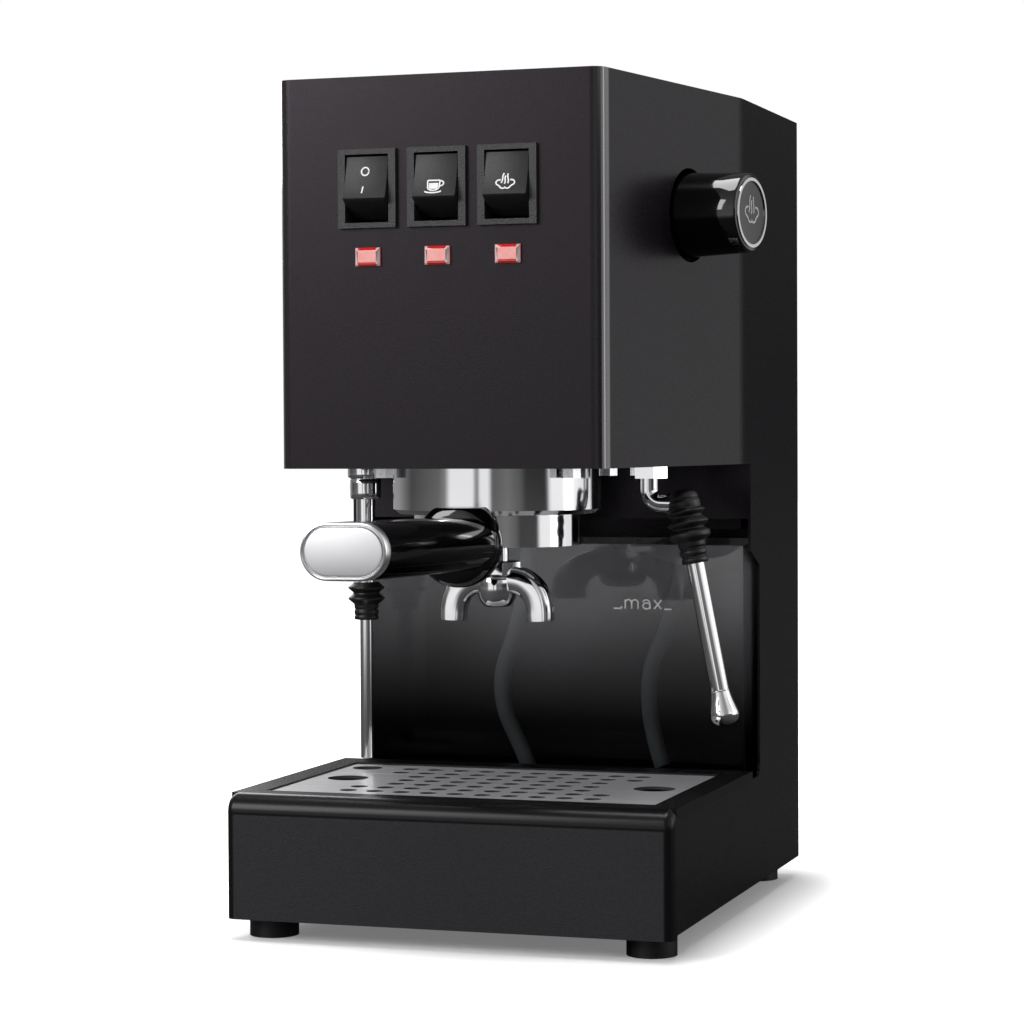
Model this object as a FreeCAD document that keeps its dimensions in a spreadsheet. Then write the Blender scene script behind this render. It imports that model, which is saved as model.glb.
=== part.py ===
import FreeCAD, Part
import math
import os
import re
import Sketcher

# Single-boiler espresso machine with a folded sheet body
# Millimetres. X to the machine's right, Y to the back, Z up; the origin is on the floor, mid footprint

vector = FreeCAD.Vector
upward = vector(0, 0, 1)
doc = FreeCAD.newDocument("EspressoMachine")

sizes = {
    # casing
    "body_width": 200,
    "body_depth": 252,
    "head_front": 130,
    "head_front_width": 146,
    "head_bottom": 208.7,
    "head_top": 378,
    "bend_line": 9.5,
    "bend_radius": 6,
    "kink_radius": 40,
    "sheet_gauge": 1.2,
    "column_front": 24.4,
    "step_top": 168,
    "step_bottom": 160,
    "recess_front": 42.4,
    "base_top": 59.8,
    "base_front": 120,
    "corner_round": 6,
    "bulkhead_front": 26,
    "bulkhead_bottom": 182.7,
    "bulkhead_flange": 14,
    # clearances
    "seat_gap": 0.1,
    "running_gap": 0.08,
    "slide_gap": 0.4,
    # feet
    "foot_height": 9.3,
    "foot_radius": 11,
    "foot_side": 87.6,
    "foot_back_side": 82,
    "foot_front": 107.5,
    "foot_back": 108,
    # drip tray and grate
    "tray_overhang": 2.3,
    "tray_front": 128,
    "tray_back": 17,
    "tray_top": 64.8,
    "tray_wall": 2.5,
    "rim_depth": 7,
    "rim_round": 8,
    "tray_end_round": 4,
    "grate_half": 89.7,
    "grate_front": 110,
    "grate_back": 0,
    "grate_gauge": 1.5,
    "grate_drop": 0.8,
    "grate_ledge": 4,
    "grate_hole": 4,
    "column_pitch": 12.7,
    "row_pitch": 13.6,
    "row_back": 12,
    "finger_hole": 9.5,
    "finger_side": 73.7,
    "finger_y": 52,
    # water tank and hoses
    "tank_half": 96,
    "tank_front": 33,
    "tank_curve": 600,
    "tank_back": 118,
    "tank_top": 170,
    "tank_wall": 2.5,
    "hose_radius": 4,
    "hose_bore": 2.5,
    "grommet_radius": 9,
    "grommet_neck": 6.5,
    "grommet_drop": 2.7,
    "grommet_rise": 3.1,
    "filter_radius": 8,
    "filter_height": 14,
    "filter_nose": 4.8,
    "filter_taper": 5.6,
    # brew group
    "group_y": 52,
    "group_radius": 47.3,
    "group_bottom": 187.5,
    "group_chamfer": 2,
    "group_neck": 40,
    "group_neck_rise": 4.3,
    "lock_bore": 36.6,
    "lock_channel": 42.2,
    "lock_shelf": 6,
    "lock_channel_height": 5.9,
    "gasket_bottom": 201.4,
    "gasket_height": 7,
    "gasket_inner": 28.8,
    "web_drop": 2,
    "shower_radius": 28.2,
    "shower_height": 1.8,
    "shower_gauge": 0.6,
    "plate_height": 4,
    "screw_radius": 2.4,
    "screw_head": 5,
    "screw_head_height": 1.4,
    "bolt_side": 44,
    "bolt_reach": 29,
    "bolt_radius": 2.5,
    "bolt_flats": 8,
    "bolt_head_height": 4.8,
    # portafilter
    "handle_swing": 0,
    "unlock_turn": 50,
    "lug_angle": 40,
    "gate_margin": 6,
    "lug_height": 5,
    "holder_radius": 38,
    "holder_bottom": 173,
    "holder_floor": 5,
    "holder_bore": 30.6,
    "basket_gauge": 0.6,
    "basket_rim": 34.5,
    "basket_rim_height": 0.9,
    "basket_depth": 21,
    "spring_wire": 0.6,
    "spring_z": 195,
    "spring_span": 330,
    "arm_radius": 7,
    "arm_lift": 3.6,
    "arm_root": 34,
    "handle_z": 175.4,
    "handle_rise": 2.4,
    "handle_start": 48.5,
    "handle_end": 186,
    "root_radius": 19.2,
    "root_band": 6,
    "root_depth": 13,
    "root_flat": 15.9,
    "handle_width": 36.8,
    "handle_thick": 23.2,
    "cap_depth": 5,
    "spout_neck": 5.5,
    "spout_nut_top": 166,
    "spout_nut_bottom": 159,
    "spout_nut_flats": 19,
    "spout_bore": 4.2,
    "spout_bulb": 9,
    "spout_bulb_bottom": 144.2,
    "spout_outlet": 138.5,
    "spout_outer": 26.4,
    "spout_inner": 15.2,
    "spout_shoulder": 10.2,
    "spout_crown": 160.6,
    "spout_fork": 6.8,
    "spout_arch": 151,
    "spout_thick": 11.6,
    "spout_wall": 1.9,
    # boiler and what is on it
    "flange_half_x": 52,
    "flange_half_y": 37,
    "flange_height": 8,
    "boiler_radius": 40,
    "boiler_top": 290,
    "boiler_wall": 6,
    "seal_height": 1.4,
    "seal_width": 4,
    "element_thick": 5,
    "element_bottom": 226,
    "element_height": 50,
    "element_span": 90,
    "tab_width": 6,
    "tab_gauge": 1,
    "tab_height": 8,
    "thermostat_radius": 8.5,
    "thermostat_height": 7,
    "brew_sensor_x": 22,
    "brew_sensor_y": 18,
    "steam_sensor_x": 8,
    "steam_sensor_y": 26,
    # three-way valve and discharge
    "valve_left": 87,
    "valve_front": 30,
    "valve_back": 4,
    "valve_height": 20,
    "coil_left": 83,
    "coil_right": 57,
    "coil_height": 36,
    "armature_radius": 4.5,
    "armature_nut": 7,
    "armature_nut_height": 4,
    "discharge_x": 79,
    "discharge_y": 13,
    "nut_bottom": 192.5,
    "nut_flats": 15,
    "stub_radius": 5,
    "upper_pipe": 4.5,
    "lower_pipe": 3.15,
    "pipe_wall": 1,
    "pipe_entry": 8,
    "bellows_top": 153,
    "bellows_rib": 8.7,
    "bellows_waist": 6.2,
    "bellows_pitch": 5.5,
    "collar_radius": 5.7,
    "bellows_bottom": 135,
    "discharge_outlet": 69,
    # pump
    "pump_x": 26,
    "pump_y": 78,
    "pump_core_x": 46,
    "pump_core_y": 50,
    "pump_core_bottom": 230,
    "pump_core_height": 56,
    "pump_nose": 8,
    "pump_outlet": 9,
    "pump_outlet_height": 22,
    "mount_gap": 6.8,
    "mount_width": 20,
    "mount_height": 20,
    "bracket_margin": 7,
    "relief_side": 24,
    "relief_height": 22,
    "tube_radius": 3,
    "tube_bore": 2,
    "tube_bend": 14,
    "inlet_y": 30,
    "return_x": 54,
    # steam valve, knob and wand
    "knob_y": 45.3,
    "knob_z": 320.5,
    "knob_hole": 21,
    "knob_base": 19,
    "knob_end": 17.5,
    "knob_out": 30,
    "knob_in": 9,
    "knob_socket": 21,
    "ring_outer": 15.4,
    "ring_inner": 14,
    "ring_proud": 0.5,
    "ring_depth": 0.8,
    "spindle_radius": 3,
    "spindle_depth": 44,
    "steam_body_radius": 9,
    "steam_body_start": 14,
    "steam_body_end": 76,
    "steam_foot_at": 66,
    "steam_foot_side": 16,
    "outlet_at": 21.1,
    "outlet_boss": 6.5,
    "outlet_boss_drop": 16,
    "outlet_pipe": 4,
    "wand_nut_flats": 15,
    "wand_nut_height": 5.7,
    "wand_radius": 4.2,
    "wand_bore": 2.6,
    "wand_elbow": 192.2,
    "wand_drop": 0.6,
    "wand_reach": 16.4,
    "wand_tip_out": 35.6,
    "wand_tip_z": 92.4,
    "wand_bend": 6,
    "grip_crown": 6.2,
    "grip_first": 2.6,
    "grip_rib": 9.3,
    "grip_waist": 7.3,
    "grip_pitch": 5.25,
    "grip_collar": 6.3,
    "grip_collar_length": 9,
    "tip_length": 16,
    "tip_bulb": 7,
    "tip_cover": 7,
    "tip_hole": 1,
    # switches and lamps
    "switch_pitch": 31.8,
    "switch_z": 329.6,
    "bezel_width": 26.5,
    "bezel_height": 34,
    "bezel_proud": 2,
    "switch_case_width": 24,
    "switch_case_height": 31.6,
    "switch_case_depth": 22,
    "rocker_width": 19.4,
    "rocker_well": 20,
    "rocker_well_height": 29.4,
    "rocker_tilt": 15,
    "rocker_half": 9.6,
    "rocker_ridge": 18,
    "rocker_hollow": 17.2,
    "rocker_pivot": 116,
    "rocker_end": 14.1,
    "rocker_end_reach": 3.5,
    "rocker_hub": 3.2,
    "pivot_radius": 1.5,
    "pivot_stub": 1,
    "lamp_z": 300.2,
    "lamp_width": 11.5,
    "lamp_height": 8,
    "lamp_proud": 2.2,
    "lamp_stem_width": 9.6,
    "lamp_stem_height": 6.2,
    "lamp_stem_depth": 12,
    # top cover, filler and rear
    "cover_drop": 1.5,
    "cover_gauge": 3,
    "cover_gap": 0.3,
    "filler_left": 8,
    "filler_right": 82,
    "filler_front": 65,
    "filler_back": 105,
    "hopper_margin": 3,
    "hopper_wall": 2,
    "hopper_depth": 28,
    "chute_margin": 1.5,
    "chute_width": 19,
    "chute_front": 73,
    "chute_back": 97,
    "chute_bottom": 176,
    "lid_pin": 1,
    "lid_pin_stub": 1.5,
    "lid_notch": 7,
    "mains_x": 28,
    "mains_z": 236,
    "mains_width": 28,
    "mains_height": 22,
    "mains_depth": 25,
    "mains_wall": 2.5,
    "mains_flange": 3,
    "vent_width": 70,
    "vent_height": 4,
    "vent_pitch": 9,
    "vent_bottom": 290,
    "case_screw": 1.6,
    "case_screw_head": 3.5,
    "case_screw_head_height": 1.6,
    "case_screw_length": 6,
    "case_screw_side": 90,
}

cells = doc.addObject("Spreadsheet::Sheet", "Sizes")
for row, (alias, number) in enumerate(sizes.items(), start=1):
    cells.set(f"A{row}", alias)
    cells.set(f"B{row}", str(number))
    cells.setAlias(f"B{row}", alias)
doc.recompute()

aliasWords = re.compile(r"\b(" + "|".join(sizes) + r")\b")
pieces = {}


# Expressions and placing


def expression(text):
    return aliasWords.sub(r"Sizes.\1", str(text))


def bind(item, bindings):
    for name, text in bindings.items():
        item.setExpression(name, expression(text))
    return item


def place(item, x="0", y="0", z="0"):
    return bind(item, {"Placement.Base.x": x, "Placement.Base.y": y, "Placement.Base.z": z})


def turn(item, axis, degrees):
    item.Placement = FreeCAD.Placement(vector(), FreeCAD.Rotation(axis, degrees))
    return item


def piece(node, item):
    item.Label = node
    pieces[node] = item
    return item


# Primitives: every span and radius is an expression over the sheet


def box(name, x0, x1, y0, y1, z0, z1):
    item = doc.addObject("Part::Box", name)
    bind(item, {"Length": f"({x1}) - ({x0})", "Width": f"({y1}) - ({y0})", "Height": f"({z1}) - ({z0})"})
    return place(item, x0, y0, z0)


def rod(name, radius, z0, z1, x="0", y="0"):
    item = doc.addObject("Part::Cylinder", name)
    bind(item, {"Radius": radius, "Height": f"({z1}) - ({z0})"})
    return place(item, x, y, z0)


def sector(name, radius, span, middle, z0, z1, y):
    item = rod(name, radius, z0, z1)
    bind(item, {"Angle": span})
    turn(item, upward, middle)
    return place(item, "0", y, z0)


def crossRod(name, axis, radius, length, x, y, z):
    item = doc.addObject("Part::Cylinder", name)
    bind(item, {"Radius": radius, "Height": length})
    item.Placement = FreeCAD.Placement(vector(), FreeCAD.Rotation(upward, axis))
    return place(item, x, y, z)


def hexagon(name, flats, z0, z1, x, y):
    item = doc.addObject("Part::Prism", name)
    item.Polygon = 6
    bind(item, {"Circumradius": f"({flats})/sqrt(3)", "Height": f"({z1}) - ({z0})"})
    return place(item, x, y, z0)


def fuse(name, items):
    item = doc.addObject("Part::MultiFuse", name)
    item.Shapes = items
    item.Refine = True
    doc.recompute()
    return item


def cut(name, base, tools):
    item = doc.addObject("Part::Cut", name)
    item.Base = base
    item.Tool = tools[0] if len(tools) == 1 else fuse(name + "_tools", tools)
    item.Refine = True
    doc.recompute()
    return item


def group(name, items):
    item = doc.addObject("Part::Compound", name)
    item.Links = items
    doc.recompute()
    return item


# Sketched bodies: each corner of the outline is held by two distances from the origin


def outline(body, plane, corners):
    sketch = body.newObject("Sketcher::SketchObject", body.Name + "_outline")
    support = [feature for feature in body.Origin.OriginFeatures if feature.Role == plane][0]
    sketch.AttachmentSupport = [(support, "")]
    sketch.MapMode = "FlatFace"
    count = len(corners)
    spots = [
        vector(math.cos(math.tau * i / count), -math.sin(math.tau * i / count), 0) for i in range(count)
    ]
    for i in range(count):
        sketch.addGeometry(Part.LineSegment(spots[i], spots[(i + 1) % count]), False)
    for i in range(count):
        sketch.addConstraint(Sketcher.Constraint("Coincident", i, 2, (i + 1) % count, 1))
    for i, corner in enumerate(corners):
        for kind, text, start in zip(("DistanceX", "DistanceY"), corner, (spots[i].x, spots[i].y)):
            held = sketch.addConstraint(Sketcher.Constraint(kind, -1, 1, i, 1, start))
            sketch.setExpression(f"Constraints[{held}]", expression(text))
    return sketch


def prism(name, plane, corners, start, length):
    body = doc.addObject("PartDesign::Body", name)
    sketch = outline(body, plane, corners)
    bind(sketch, {"AttachmentOffset.Base.z": start})
    pad = body.newObject("PartDesign::Pad", name + "_pad")
    pad.Profile = sketch
    bind(pad, {"Length": length})
    doc.recompute()
    return body


def turned(name, corners):
    body = doc.addObject("PartDesign::Body", name)
    sketch = outline(body, "XZ_Plane", corners)
    lathe = body.newObject("PartDesign::Revolution", name + "_turn")
    lathe.Profile = sketch
    lathe.ReferenceAxis = (sketch, ["V_Axis"])
    lathe.Angle = 360
    doc.recompute()
    return body


def turnedAt(name, corners, x, y):
    return place(turned(name, corners), x, y)


def roundEdges(body, radius, wanted):
    base = body.Tip
    names = [f"Edge{i}" for i, edge in enumerate(base.Shape.Edges, start=1) if wanted(edge)]
    fillet = body.newObject("PartDesign::Fillet", body.Name + "_round")
    fillet.Base = (base, names)
    bind(fillet, {"Radius": radius})
    doc.recompute()


def runsAlong(edge, axis):
    spans = {"x": edge.BoundBox.XLength, "y": edge.BoundBox.YLength, "z": edge.BoundBox.ZLength}
    return all((span > 1e-4) == (name == axis) for name, span in spans.items())


def near(edge, x=None, y=None, z=None):
    middle = edge.BoundBox.Center
    wanted = ((x, abs(middle.x)), (y, middle.y), (z, middle.z))
    return all(value is None or abs(value - found) < 1e-3 for value, found in wanted)


# Tubes along straight runs joined by tangent arcs


def arcPath(stops, radii):
    edges = []
    start = stops[0]
    for corner, after, before, radius in zip(stops[1:-1], stops[2:], stops[:-2], radii):
        arriving = (corner - before).normalize()
        leaving = (after - corner).normalize()
        half = arriving.getAngle(leaving) / 2
        reach = radius * math.tan(half)
        first = corner - arriving * reach
        last = corner + leaving * reach
        inward = (leaving - arriving).normalize()
        middle = corner + inward * (radius / math.cos(half) - radius)
        edges.append(Part.LineSegment(start, first).toShape())
        edges.append(Part.Arc(first, middle, last).toShape())
        start = last
    edges.append(Part.LineSegment(start, stops[-1]).toShape())
    return Part.Wire(edges)


def roundBar(path, start, heading, radius):
    ring = Part.Wire(Part.makeCircle(radius, start, heading))
    return path.makePipeShell([ring], True, False)


def bentTube(name, stops, radii, radius, bore):
    path = arcPath(stops, radii)
    heading = stops[1] - stops[0]
    item = doc.addObject("Part::Feature", name)
    outside = roundBar(path, stops[0], heading, radius)
    item.Shape = outside.cut(roundBar(path, stops[0], heading, bore))
    return item


def hoseRadii(name, stops):
    radii = []
    for before, corner, after in zip(stops, stops[1:], stops[2:]):
        bend = (corner - before).getAngle(after - corner)
        shorter = min((corner - before).Length, (after - corner).Length)
        radii.append(0.45 * shorter / math.tan(bend / 2))
    print(name, "bend radii", [round(radius, 1) for radius in radii])
    return radii


# Shared lines of the casing

half = "body_width/2"
rear = "body_depth/2"
slope = "((body_width - head_front_width)/2/(head_front + bend_line))"
slant = f"sqrt(1 + {slope}*{slope})"
floorTop = "(head_bottom + sheet_gauge)"
groupLine = "-group_y"
panTop = "(foot_height + sheet_gauge)"


def headCorners(inset, back):
    side = f"({half} - ({inset}))"
    bendY = f"(-head_front + ({side} - head_front_width/2 + ({inset})*{slant})/{slope})"
    frontX = f"(head_front_width/2 + ({inset})*({slope} - {slant}))"
    frontY = f"(-head_front + ({inset}))"
    right = [(frontX, frontY), (side, bendY), (side, back)]
    left = [(f"-{x}", y) for x, y in reversed(right)]
    return left + right


def headPlate(name, inset, start, thickness):
    body = prism(name, "XY_Plane", headCorners(inset, f"{rear} - ({inset})"), start, thickness)
    yMiddle = sorted(
        {round(edge.BoundBox.Center.y, 3) for edge in body.Shape.Edges if runsAlong(edge, "z")}
    )
    roundEdges(
        body, f"bend_radius - ({inset})", lambda edge: runsAlong(edge, "z") and near(edge, y=yMiddle[0]),
    )
    roundEdges(
        body, f"kink_radius - ({inset})", lambda edge: runsAlong(edge, "z") and near(edge, y=yMiddle[1]),
    )
    return body


def wallNormal():
    tangent = (cells.body_width - cells.head_front_width) / 2 / (cells.head_front + cells.bend_line)
    return vector(1, -tangent, 0).normalize()


def knobFrame():
    outward = wallNormal()
    reach = -outward.y / outward.x * (cells.head_front - cells.knob_y)
    spot = vector(cells.head_front_width / 2 + reach, -cells.knob_y, cells.knob_z)
    return FreeCAD.Placement(spot, FreeCAD.Rotation(upward, outward))


def alongKnob(distance):
    return knobFrame().multVec(vector(0, 0, -distance))


switchPlaces = {"power": "-switch_pitch", "brew": "0", "steam": "switch_pitch"}


# Body shell: tapered head wrap and two C-shaped sides, folded from one sheet


def sidePlate(name, start):
    corners = [
        (rear, "foot_height"),
        (rear, "head_bottom"),
        ("column_front", "head_bottom"),
        ("column_front", "step_top"),
        ("recess_front", "step_bottom"),
        ("recess_front", "base_top"),
        ("-base_front", "base_top"),
        ("-base_front", "foot_height"),
    ]
    plate = prism(name, "YZ_Plane", corners, start, "sheet_gauge")
    turns = ((cells.recess_front, cells.base_top), (-cells.base_front, cells.base_top))
    roundEdges(
        plate,
        "corner_round",
        lambda edge: runsAlong(edge, "x") and any(near(edge, y=y, z=z) for y, z in turns)
    )
    return plate


def bodyShell():
    ring = headCorners("0", rear) + headCorners("sheet_gauge", rear)[::-1]
    wrap = prism("head_wrap", "XY_Plane", ring, "head_bottom", "head_top - head_bottom")
    rows = sorted({round(edge.BoundBox.Center.y, 3) for edge in wrap.Shape.Edges if runsAlong(edge, "z")})
    outerFront, innerFront, firstBend, secondBend = rows[:4]
    outerBend = cells.bend_line
    innerBend = firstBend if abs(secondBend - outerBend) < 1e-2 else secondBend
    bends = (
        (outerFront, "bend_radius"),
        (innerFront, "bend_radius - sheet_gauge"),
        (outerBend, "kink_radius"),
        (innerBend, "kink_radius - sheet_gauge"),
    )
    for line, radius in bends:
        roundEdges(
            wrap, radius, lambda edge: runsAlong(edge, "z") and abs(edge.BoundBox.Center.y - line) < 1e-2,
        )
    sides = [sidePlate("right_side", f"{half} - sheet_gauge"), sidePlate("left_side", f"-{half}")]
    whole = fuse("shell_blank", [wrap] + sides)
    frontSkin = ("-head_front - 1", "-head_front + 2*sheet_gauge")
    holes = []
    for name, x in switchPlaces.items():
        wide = "(switch_case_width/2 + seat_gap)"
        high = "(switch_case_height/2 + seat_gap)"
        holes.append(
            box(
                f"{name}_opening", f"{x} - {wide}", f"{x} + {wide}", *frontSkin, f"switch_z - {high}",
                f"switch_z + {high}",
            )
        )
        wide = "(lamp_stem_width/2 + seat_gap)"
        high = "(lamp_stem_height/2 + seat_gap)"
        holes.append(
            box(
                f"{name}_lamp_opening", f"{x} - {wide}", f"{x} + {wide}", *frontSkin, f"lamp_z - {high}",
                f"lamp_z + {high}",
            )
        )
    knobHole = doc.addObject("Part::Cylinder", "knob_opening")
    bind(knobHole, {"Radius": "knob_hole", "Height": "8*sheet_gauge"})
    knobHole.Placement = knobFrame().multiply(
        FreeCAD.Placement(vector(0, 0, -4 * cells.sheet_gauge), FreeCAD.Rotation()),
    )
    piece("body_shell", cut("body_shell", whole, holes + [knobHole]))


# Sheets that close the body: rear panel, head floor, bulkhead and base pan


def screwSpots():
    return [
        (side, height)
        for side in ("-case_screw_side", "case_screw_side")
        for height in ("base_top/2", "head_bottom - 2*case_screw_head", "head_top - 4*case_screw_head")
    ]


def rearPanel():
    side = f"({half} - sheet_gauge - seat_gap)"
    panel = box("rear_blank", f"-{side}", side, f"{rear} - sheet_gauge", rear, "foot_height", "head_top")
    through = (f"{rear} - 2*sheet_gauge", f"{rear} + sheet_gauge")
    wide = "(mains_width/2 + seat_gap)"
    high = "(mains_height/2 + seat_gap)"
    tools = [
        box(
            "mains_opening", f"mains_x - {wide}", f"mains_x + {wide}", *through, f"mains_z - {high}",
            f"mains_z + {high}",
        )
    ]
    for i in range(7):
        low = f"(vent_bottom + {i}*vent_pitch)"
        tools.append(box("vent", "-vent_width/2", "vent_width/2", *through, low, f"{low} + vent_height"))
    for x, z in screwSpots():
        tools.append(
            crossRod(
                "screw_hole", vector(0, 1, 0), "case_screw + seat_gap", "3*sheet_gauge", x, through[0], z,
            )
        )
    piece("rear_panel", cut("rear_panel", panel, tools))


def headFloor():
    blank = headPlate("floor_blank", "sheet_gauge + seat_gap", "head_bottom", "sheet_gauge")
    through = ("head_bottom - sheet_gauge", f"{floorTop} + sheet_gauge")
    outlet = alongKnob(cells.outlet_at)
    margin = "slide_gap"
    tools = [
        rod("neck_hole", "group_neck + seat_gap", *through, "0", groupLine),
        rod("stub_hole", "stub_radius + seat_gap", *through, "-discharge_x", "-discharge_y"),
        rod("wand_hole", "outlet_pipe + seat_gap", *through, str(outlet.x), str(outlet.y)),
        rod("suction_hole", "grommet_neck + seat_gap", *through, "-pump_x", "pump_y"),
        rod("return_hole", "grommet_neck + seat_gap", *through, "return_x", "pump_y"),
        box(
            "chute_hole",
            f"{chuteLeft} - {margin}",
            f"{chuteRight} + {margin}",
            f"chute_front - {margin}",
            f"chute_back + {margin}",
            *through,
        ),
    ]
    for x, y in boltSpots():
        tools.append(rod("bolt_hole", "bolt_radius + seat_gap", *through, x, y))
    piece("head_floor", cut("head_floor", blank, tools))


def innerBulkhead():
    side = f"({half} - sheet_gauge - seat_gap)"
    back = "bulkhead_front + sheet_gauge"
    wall = box("bulkhead_wall", f"-{side}", side, "bulkhead_front", back, "bulkhead_bottom", "head_bottom")
    lip = box(
        "bulkhead_lip", f"-{side}", side, back, f"{back} + bulkhead_flange", "head_bottom - sheet_gauge",
        "head_bottom",
    )
    piece("inner_bulkhead", fuse("inner_bulkhead", [wall, lip]))


def basePan():
    side = f"({half} - sheet_gauge - seat_gap)"
    back = f"{rear} - sheet_gauge - seat_gap"
    piece("base_pan", box("base_pan", f"-{side}", side, "-base_front", back, "foot_height", panTop))


def feet():
    spots = [("-foot_side", "-foot_front"), ("foot_side", "-foot_front")]
    spots += [("-foot_back_side", "foot_back"), ("foot_back_side", "foot_back")]
    pads = [rod("foot", "foot_radius", "0", "foot_height", x, y) for x, y in spots]
    piece("feet", group("feet", pads))


def caseScrews():
    screws = []
    for x, z in screwSpots():
        head = crossRod(
            "screw_top", vector(0, 1, 0), "case_screw_head", "case_screw_head_height", x, rear, z,
        )
        start = f"{rear} - case_screw_length"
        shank = crossRod("screw_shank", vector(0, 1, 0), "case_screw", "case_screw_length", x, start, z)
        screws.append(fuse("case_screw", [head, shank]))
    piece("case_screws", group("case_screws", screws))


# Top cover, filler funnel and hinged lid

coverTop = "(head_top - cover_drop)"
coverBottom = "(head_top - cover_drop - cover_gauge)"
chuteLeft = "(return_x + grommet_radius + chute_margin)"
chuteRight = f"({chuteLeft} + chute_width)"
lidAxisZ = "(head_top - cover_drop - cover_gauge/2)"
lidAxisY = "(filler_back - slide_gap - cover_gauge/2)"


def topCover():
    blank = headPlate("cover_blank", "sheet_gauge + cover_gap", coverBottom, "cover_gauge")
    opening = box(
        "filler_opening",
        "filler_left",
        "filler_right",
        "filler_front",
        "filler_back",
        f"{coverBottom} - 1",
        f"{coverTop} + 1",
    )
    reach = "(lid_pin_stub + slide_gap)"
    socket = crossRod(
        "lid_socket",
        vector(1, 0, 0),
        "lid_pin + running_gap",
        f"filler_right - filler_left + 2*{reach}",
        f"filler_left - {reach}",
        lidAxisY,
        lidAxisZ,
    )
    piece("top_cover", cut("top_cover", blank, [opening, socket]))


def fillerLid():
    left = "(filler_left + slide_gap)"
    right = "(filler_right - slide_gap)"
    flap = box("lid_flap", left, right, "filler_front + slide_gap", lidAxisY, coverBottom, coverTop)
    barrel = crossRod(
        "lid_barrel", vector(1, 0, 0), "cover_gauge/2", f"{right} - {left}", left, lidAxisY, lidAxisZ
    )
    pin = crossRod(
        "lid_pins",
        vector(1, 0, 0),
        "lid_pin",
        f"{right} - {left} + 2*lid_pin_stub",
        f"{left} - lid_pin_stub",
        lidAxisY,
        lidAxisZ,
    )
    middle = "(filler_left + filler_right)/2"
    notch = rod(
        "lid_notch", "lid_notch", f"{coverBottom} - 1", f"{coverTop} + 1", middle,
        "filler_front + slide_gap",
    )
    piece("filler_lid", cut("filler_lid", fuse("lid_blank", [flap, barrel, pin]), [notch]))


def fillerFunnel():
    left = "(filler_left - hopper_margin)"
    right = "(filler_right + hopper_margin)"
    front = "(filler_front - hopper_margin)"
    back = "(filler_back + hopper_margin)"
    low = f"({coverBottom} - hopper_depth)"
    wall = "hopper_wall"
    hopper = box("hopper", left, right, front, back, low, f"{coverBottom} - seat_gap")
    chute = box(
        "chute", chuteLeft, chuteRight, "chute_front", "chute_back", "chute_bottom", f"{low} + {wall}",
    )
    inside = box(
        "hopper_inside", f"{left} + {wall}", f"{right} - {wall}", f"{front} + {wall}", f"{back} - {wall}",
        f"{low} + {wall}", coverTop,
    )
    bore = box(
        "chute_inside", f"{chuteLeft} + {wall}", f"{chuteRight} - {wall}", f"chute_front + {wall}",
        f"chute_back - {wall}", "chute_bottom - 1", f"{low} + 2*{wall}",
    )
    piece("filler_funnel", cut("filler_funnel", fuse("funnel_blank", [hopper, chute]), [inside, bore]))


# Drip tray and its grate

trayFloor = f"({panTop} + slide_gap)"
grateTop = "(tray_top - grate_drop)"
grateBottom = "(tray_top - grate_drop - grate_gauge)"
ledgeTop = "(tray_top - grate_drop - grate_gauge - slide_gap)"


def dripTray():
    outer = f"({half} + tray_overhang)"
    front = "(-tray_front)"
    behind = "(-base_front - slide_gap)"
    inner = f"({half} - sheet_gauge - 2*slide_gap)"
    profile = [
        (front, "foot_height"),
        (front, "tray_top"),
        ("(-grate_front - slide_gap)", "tray_top"),
        ("(-grate_front - slide_gap)", "(base_top + slide_gap)"),
        (behind, "(base_top + slide_gap)"),
        (behind, "foot_height"),
    ]
    face = prism("tray_face", "YZ_Plane", profile, f"-{outer}", f"2*{outer}")
    frontY = -cells.tray_front
    roundEdges(
        face, "rim_round", lambda edge: runsAlong(edge, "x") and near(edge, y=frontY, z=cells.tray_top),
    )
    side = cells.body_width / 2 + cells.tray_overhang
    roundEdges(face, "tray_end_round", lambda edge: runsAlong(edge, "z") and near(edge, x=side, y=frontY))
    tub = box("tray_tub", f"-{inner}", inner, behind, "tray_back", trayFloor, "tray_top")
    rim = box("tray_rim", f"-{outer}", outer, behind, "tray_back", "base_top + slide_gap", "tray_top")
    wall = "tray_wall"
    low = f"({trayFloor} + {wall})"
    shoulder = f"({ledgeTop} - rim_depth)"
    sump = box(
        "tray_sump", f"-{inner} + {wall}", f"{inner} - {wall}", f"{behind} + {wall}", f"tray_back - {wall}",
        low, shoulder,
    )
    ledge = "grate_ledge"
    mouth = box(
        "tray_mouth", f"-grate_half + {ledge}", f"grate_half - {ledge}", f"-grate_front + {ledge}",
        f"-grate_back - {ledge}", f"{shoulder} - 1", "tray_top",
    )
    gap = "slide_gap"
    seat = box(
        "grate_seat", f"-grate_half - {gap}", f"grate_half + {gap}",
        f"-grate_front - {gap}", f"-grate_back + {gap}",
        ledgeTop, "tray_top + 1",
    )
    blank = fuse("tray_blank", [face, tub, rim])
    piece("drip_tray", cut("drip_tray", blank, [sump, mouth, seat]))


def grateHoles():
    rows = 7
    holes = []
    for row in range(rows):
        columns = 8 if 2 <= row <= 4 else 10
        for column in range(columns):
            x = f"column_pitch*({column} - {(columns - 1) / 2})"
            y = f"(-grate_back - row_back - {row}*row_pitch)"
            holes.append((x, y, "grate_hole"))
    holes.append(("finger_side", "-finger_y", "finger_hole"))
    holes.append(("-finger_side", "-finger_y", "finger_hole"))
    holes.append(("-discharge_x", "-discharge_y", "grate_hole + lower_pipe"))
    return holes


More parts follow.
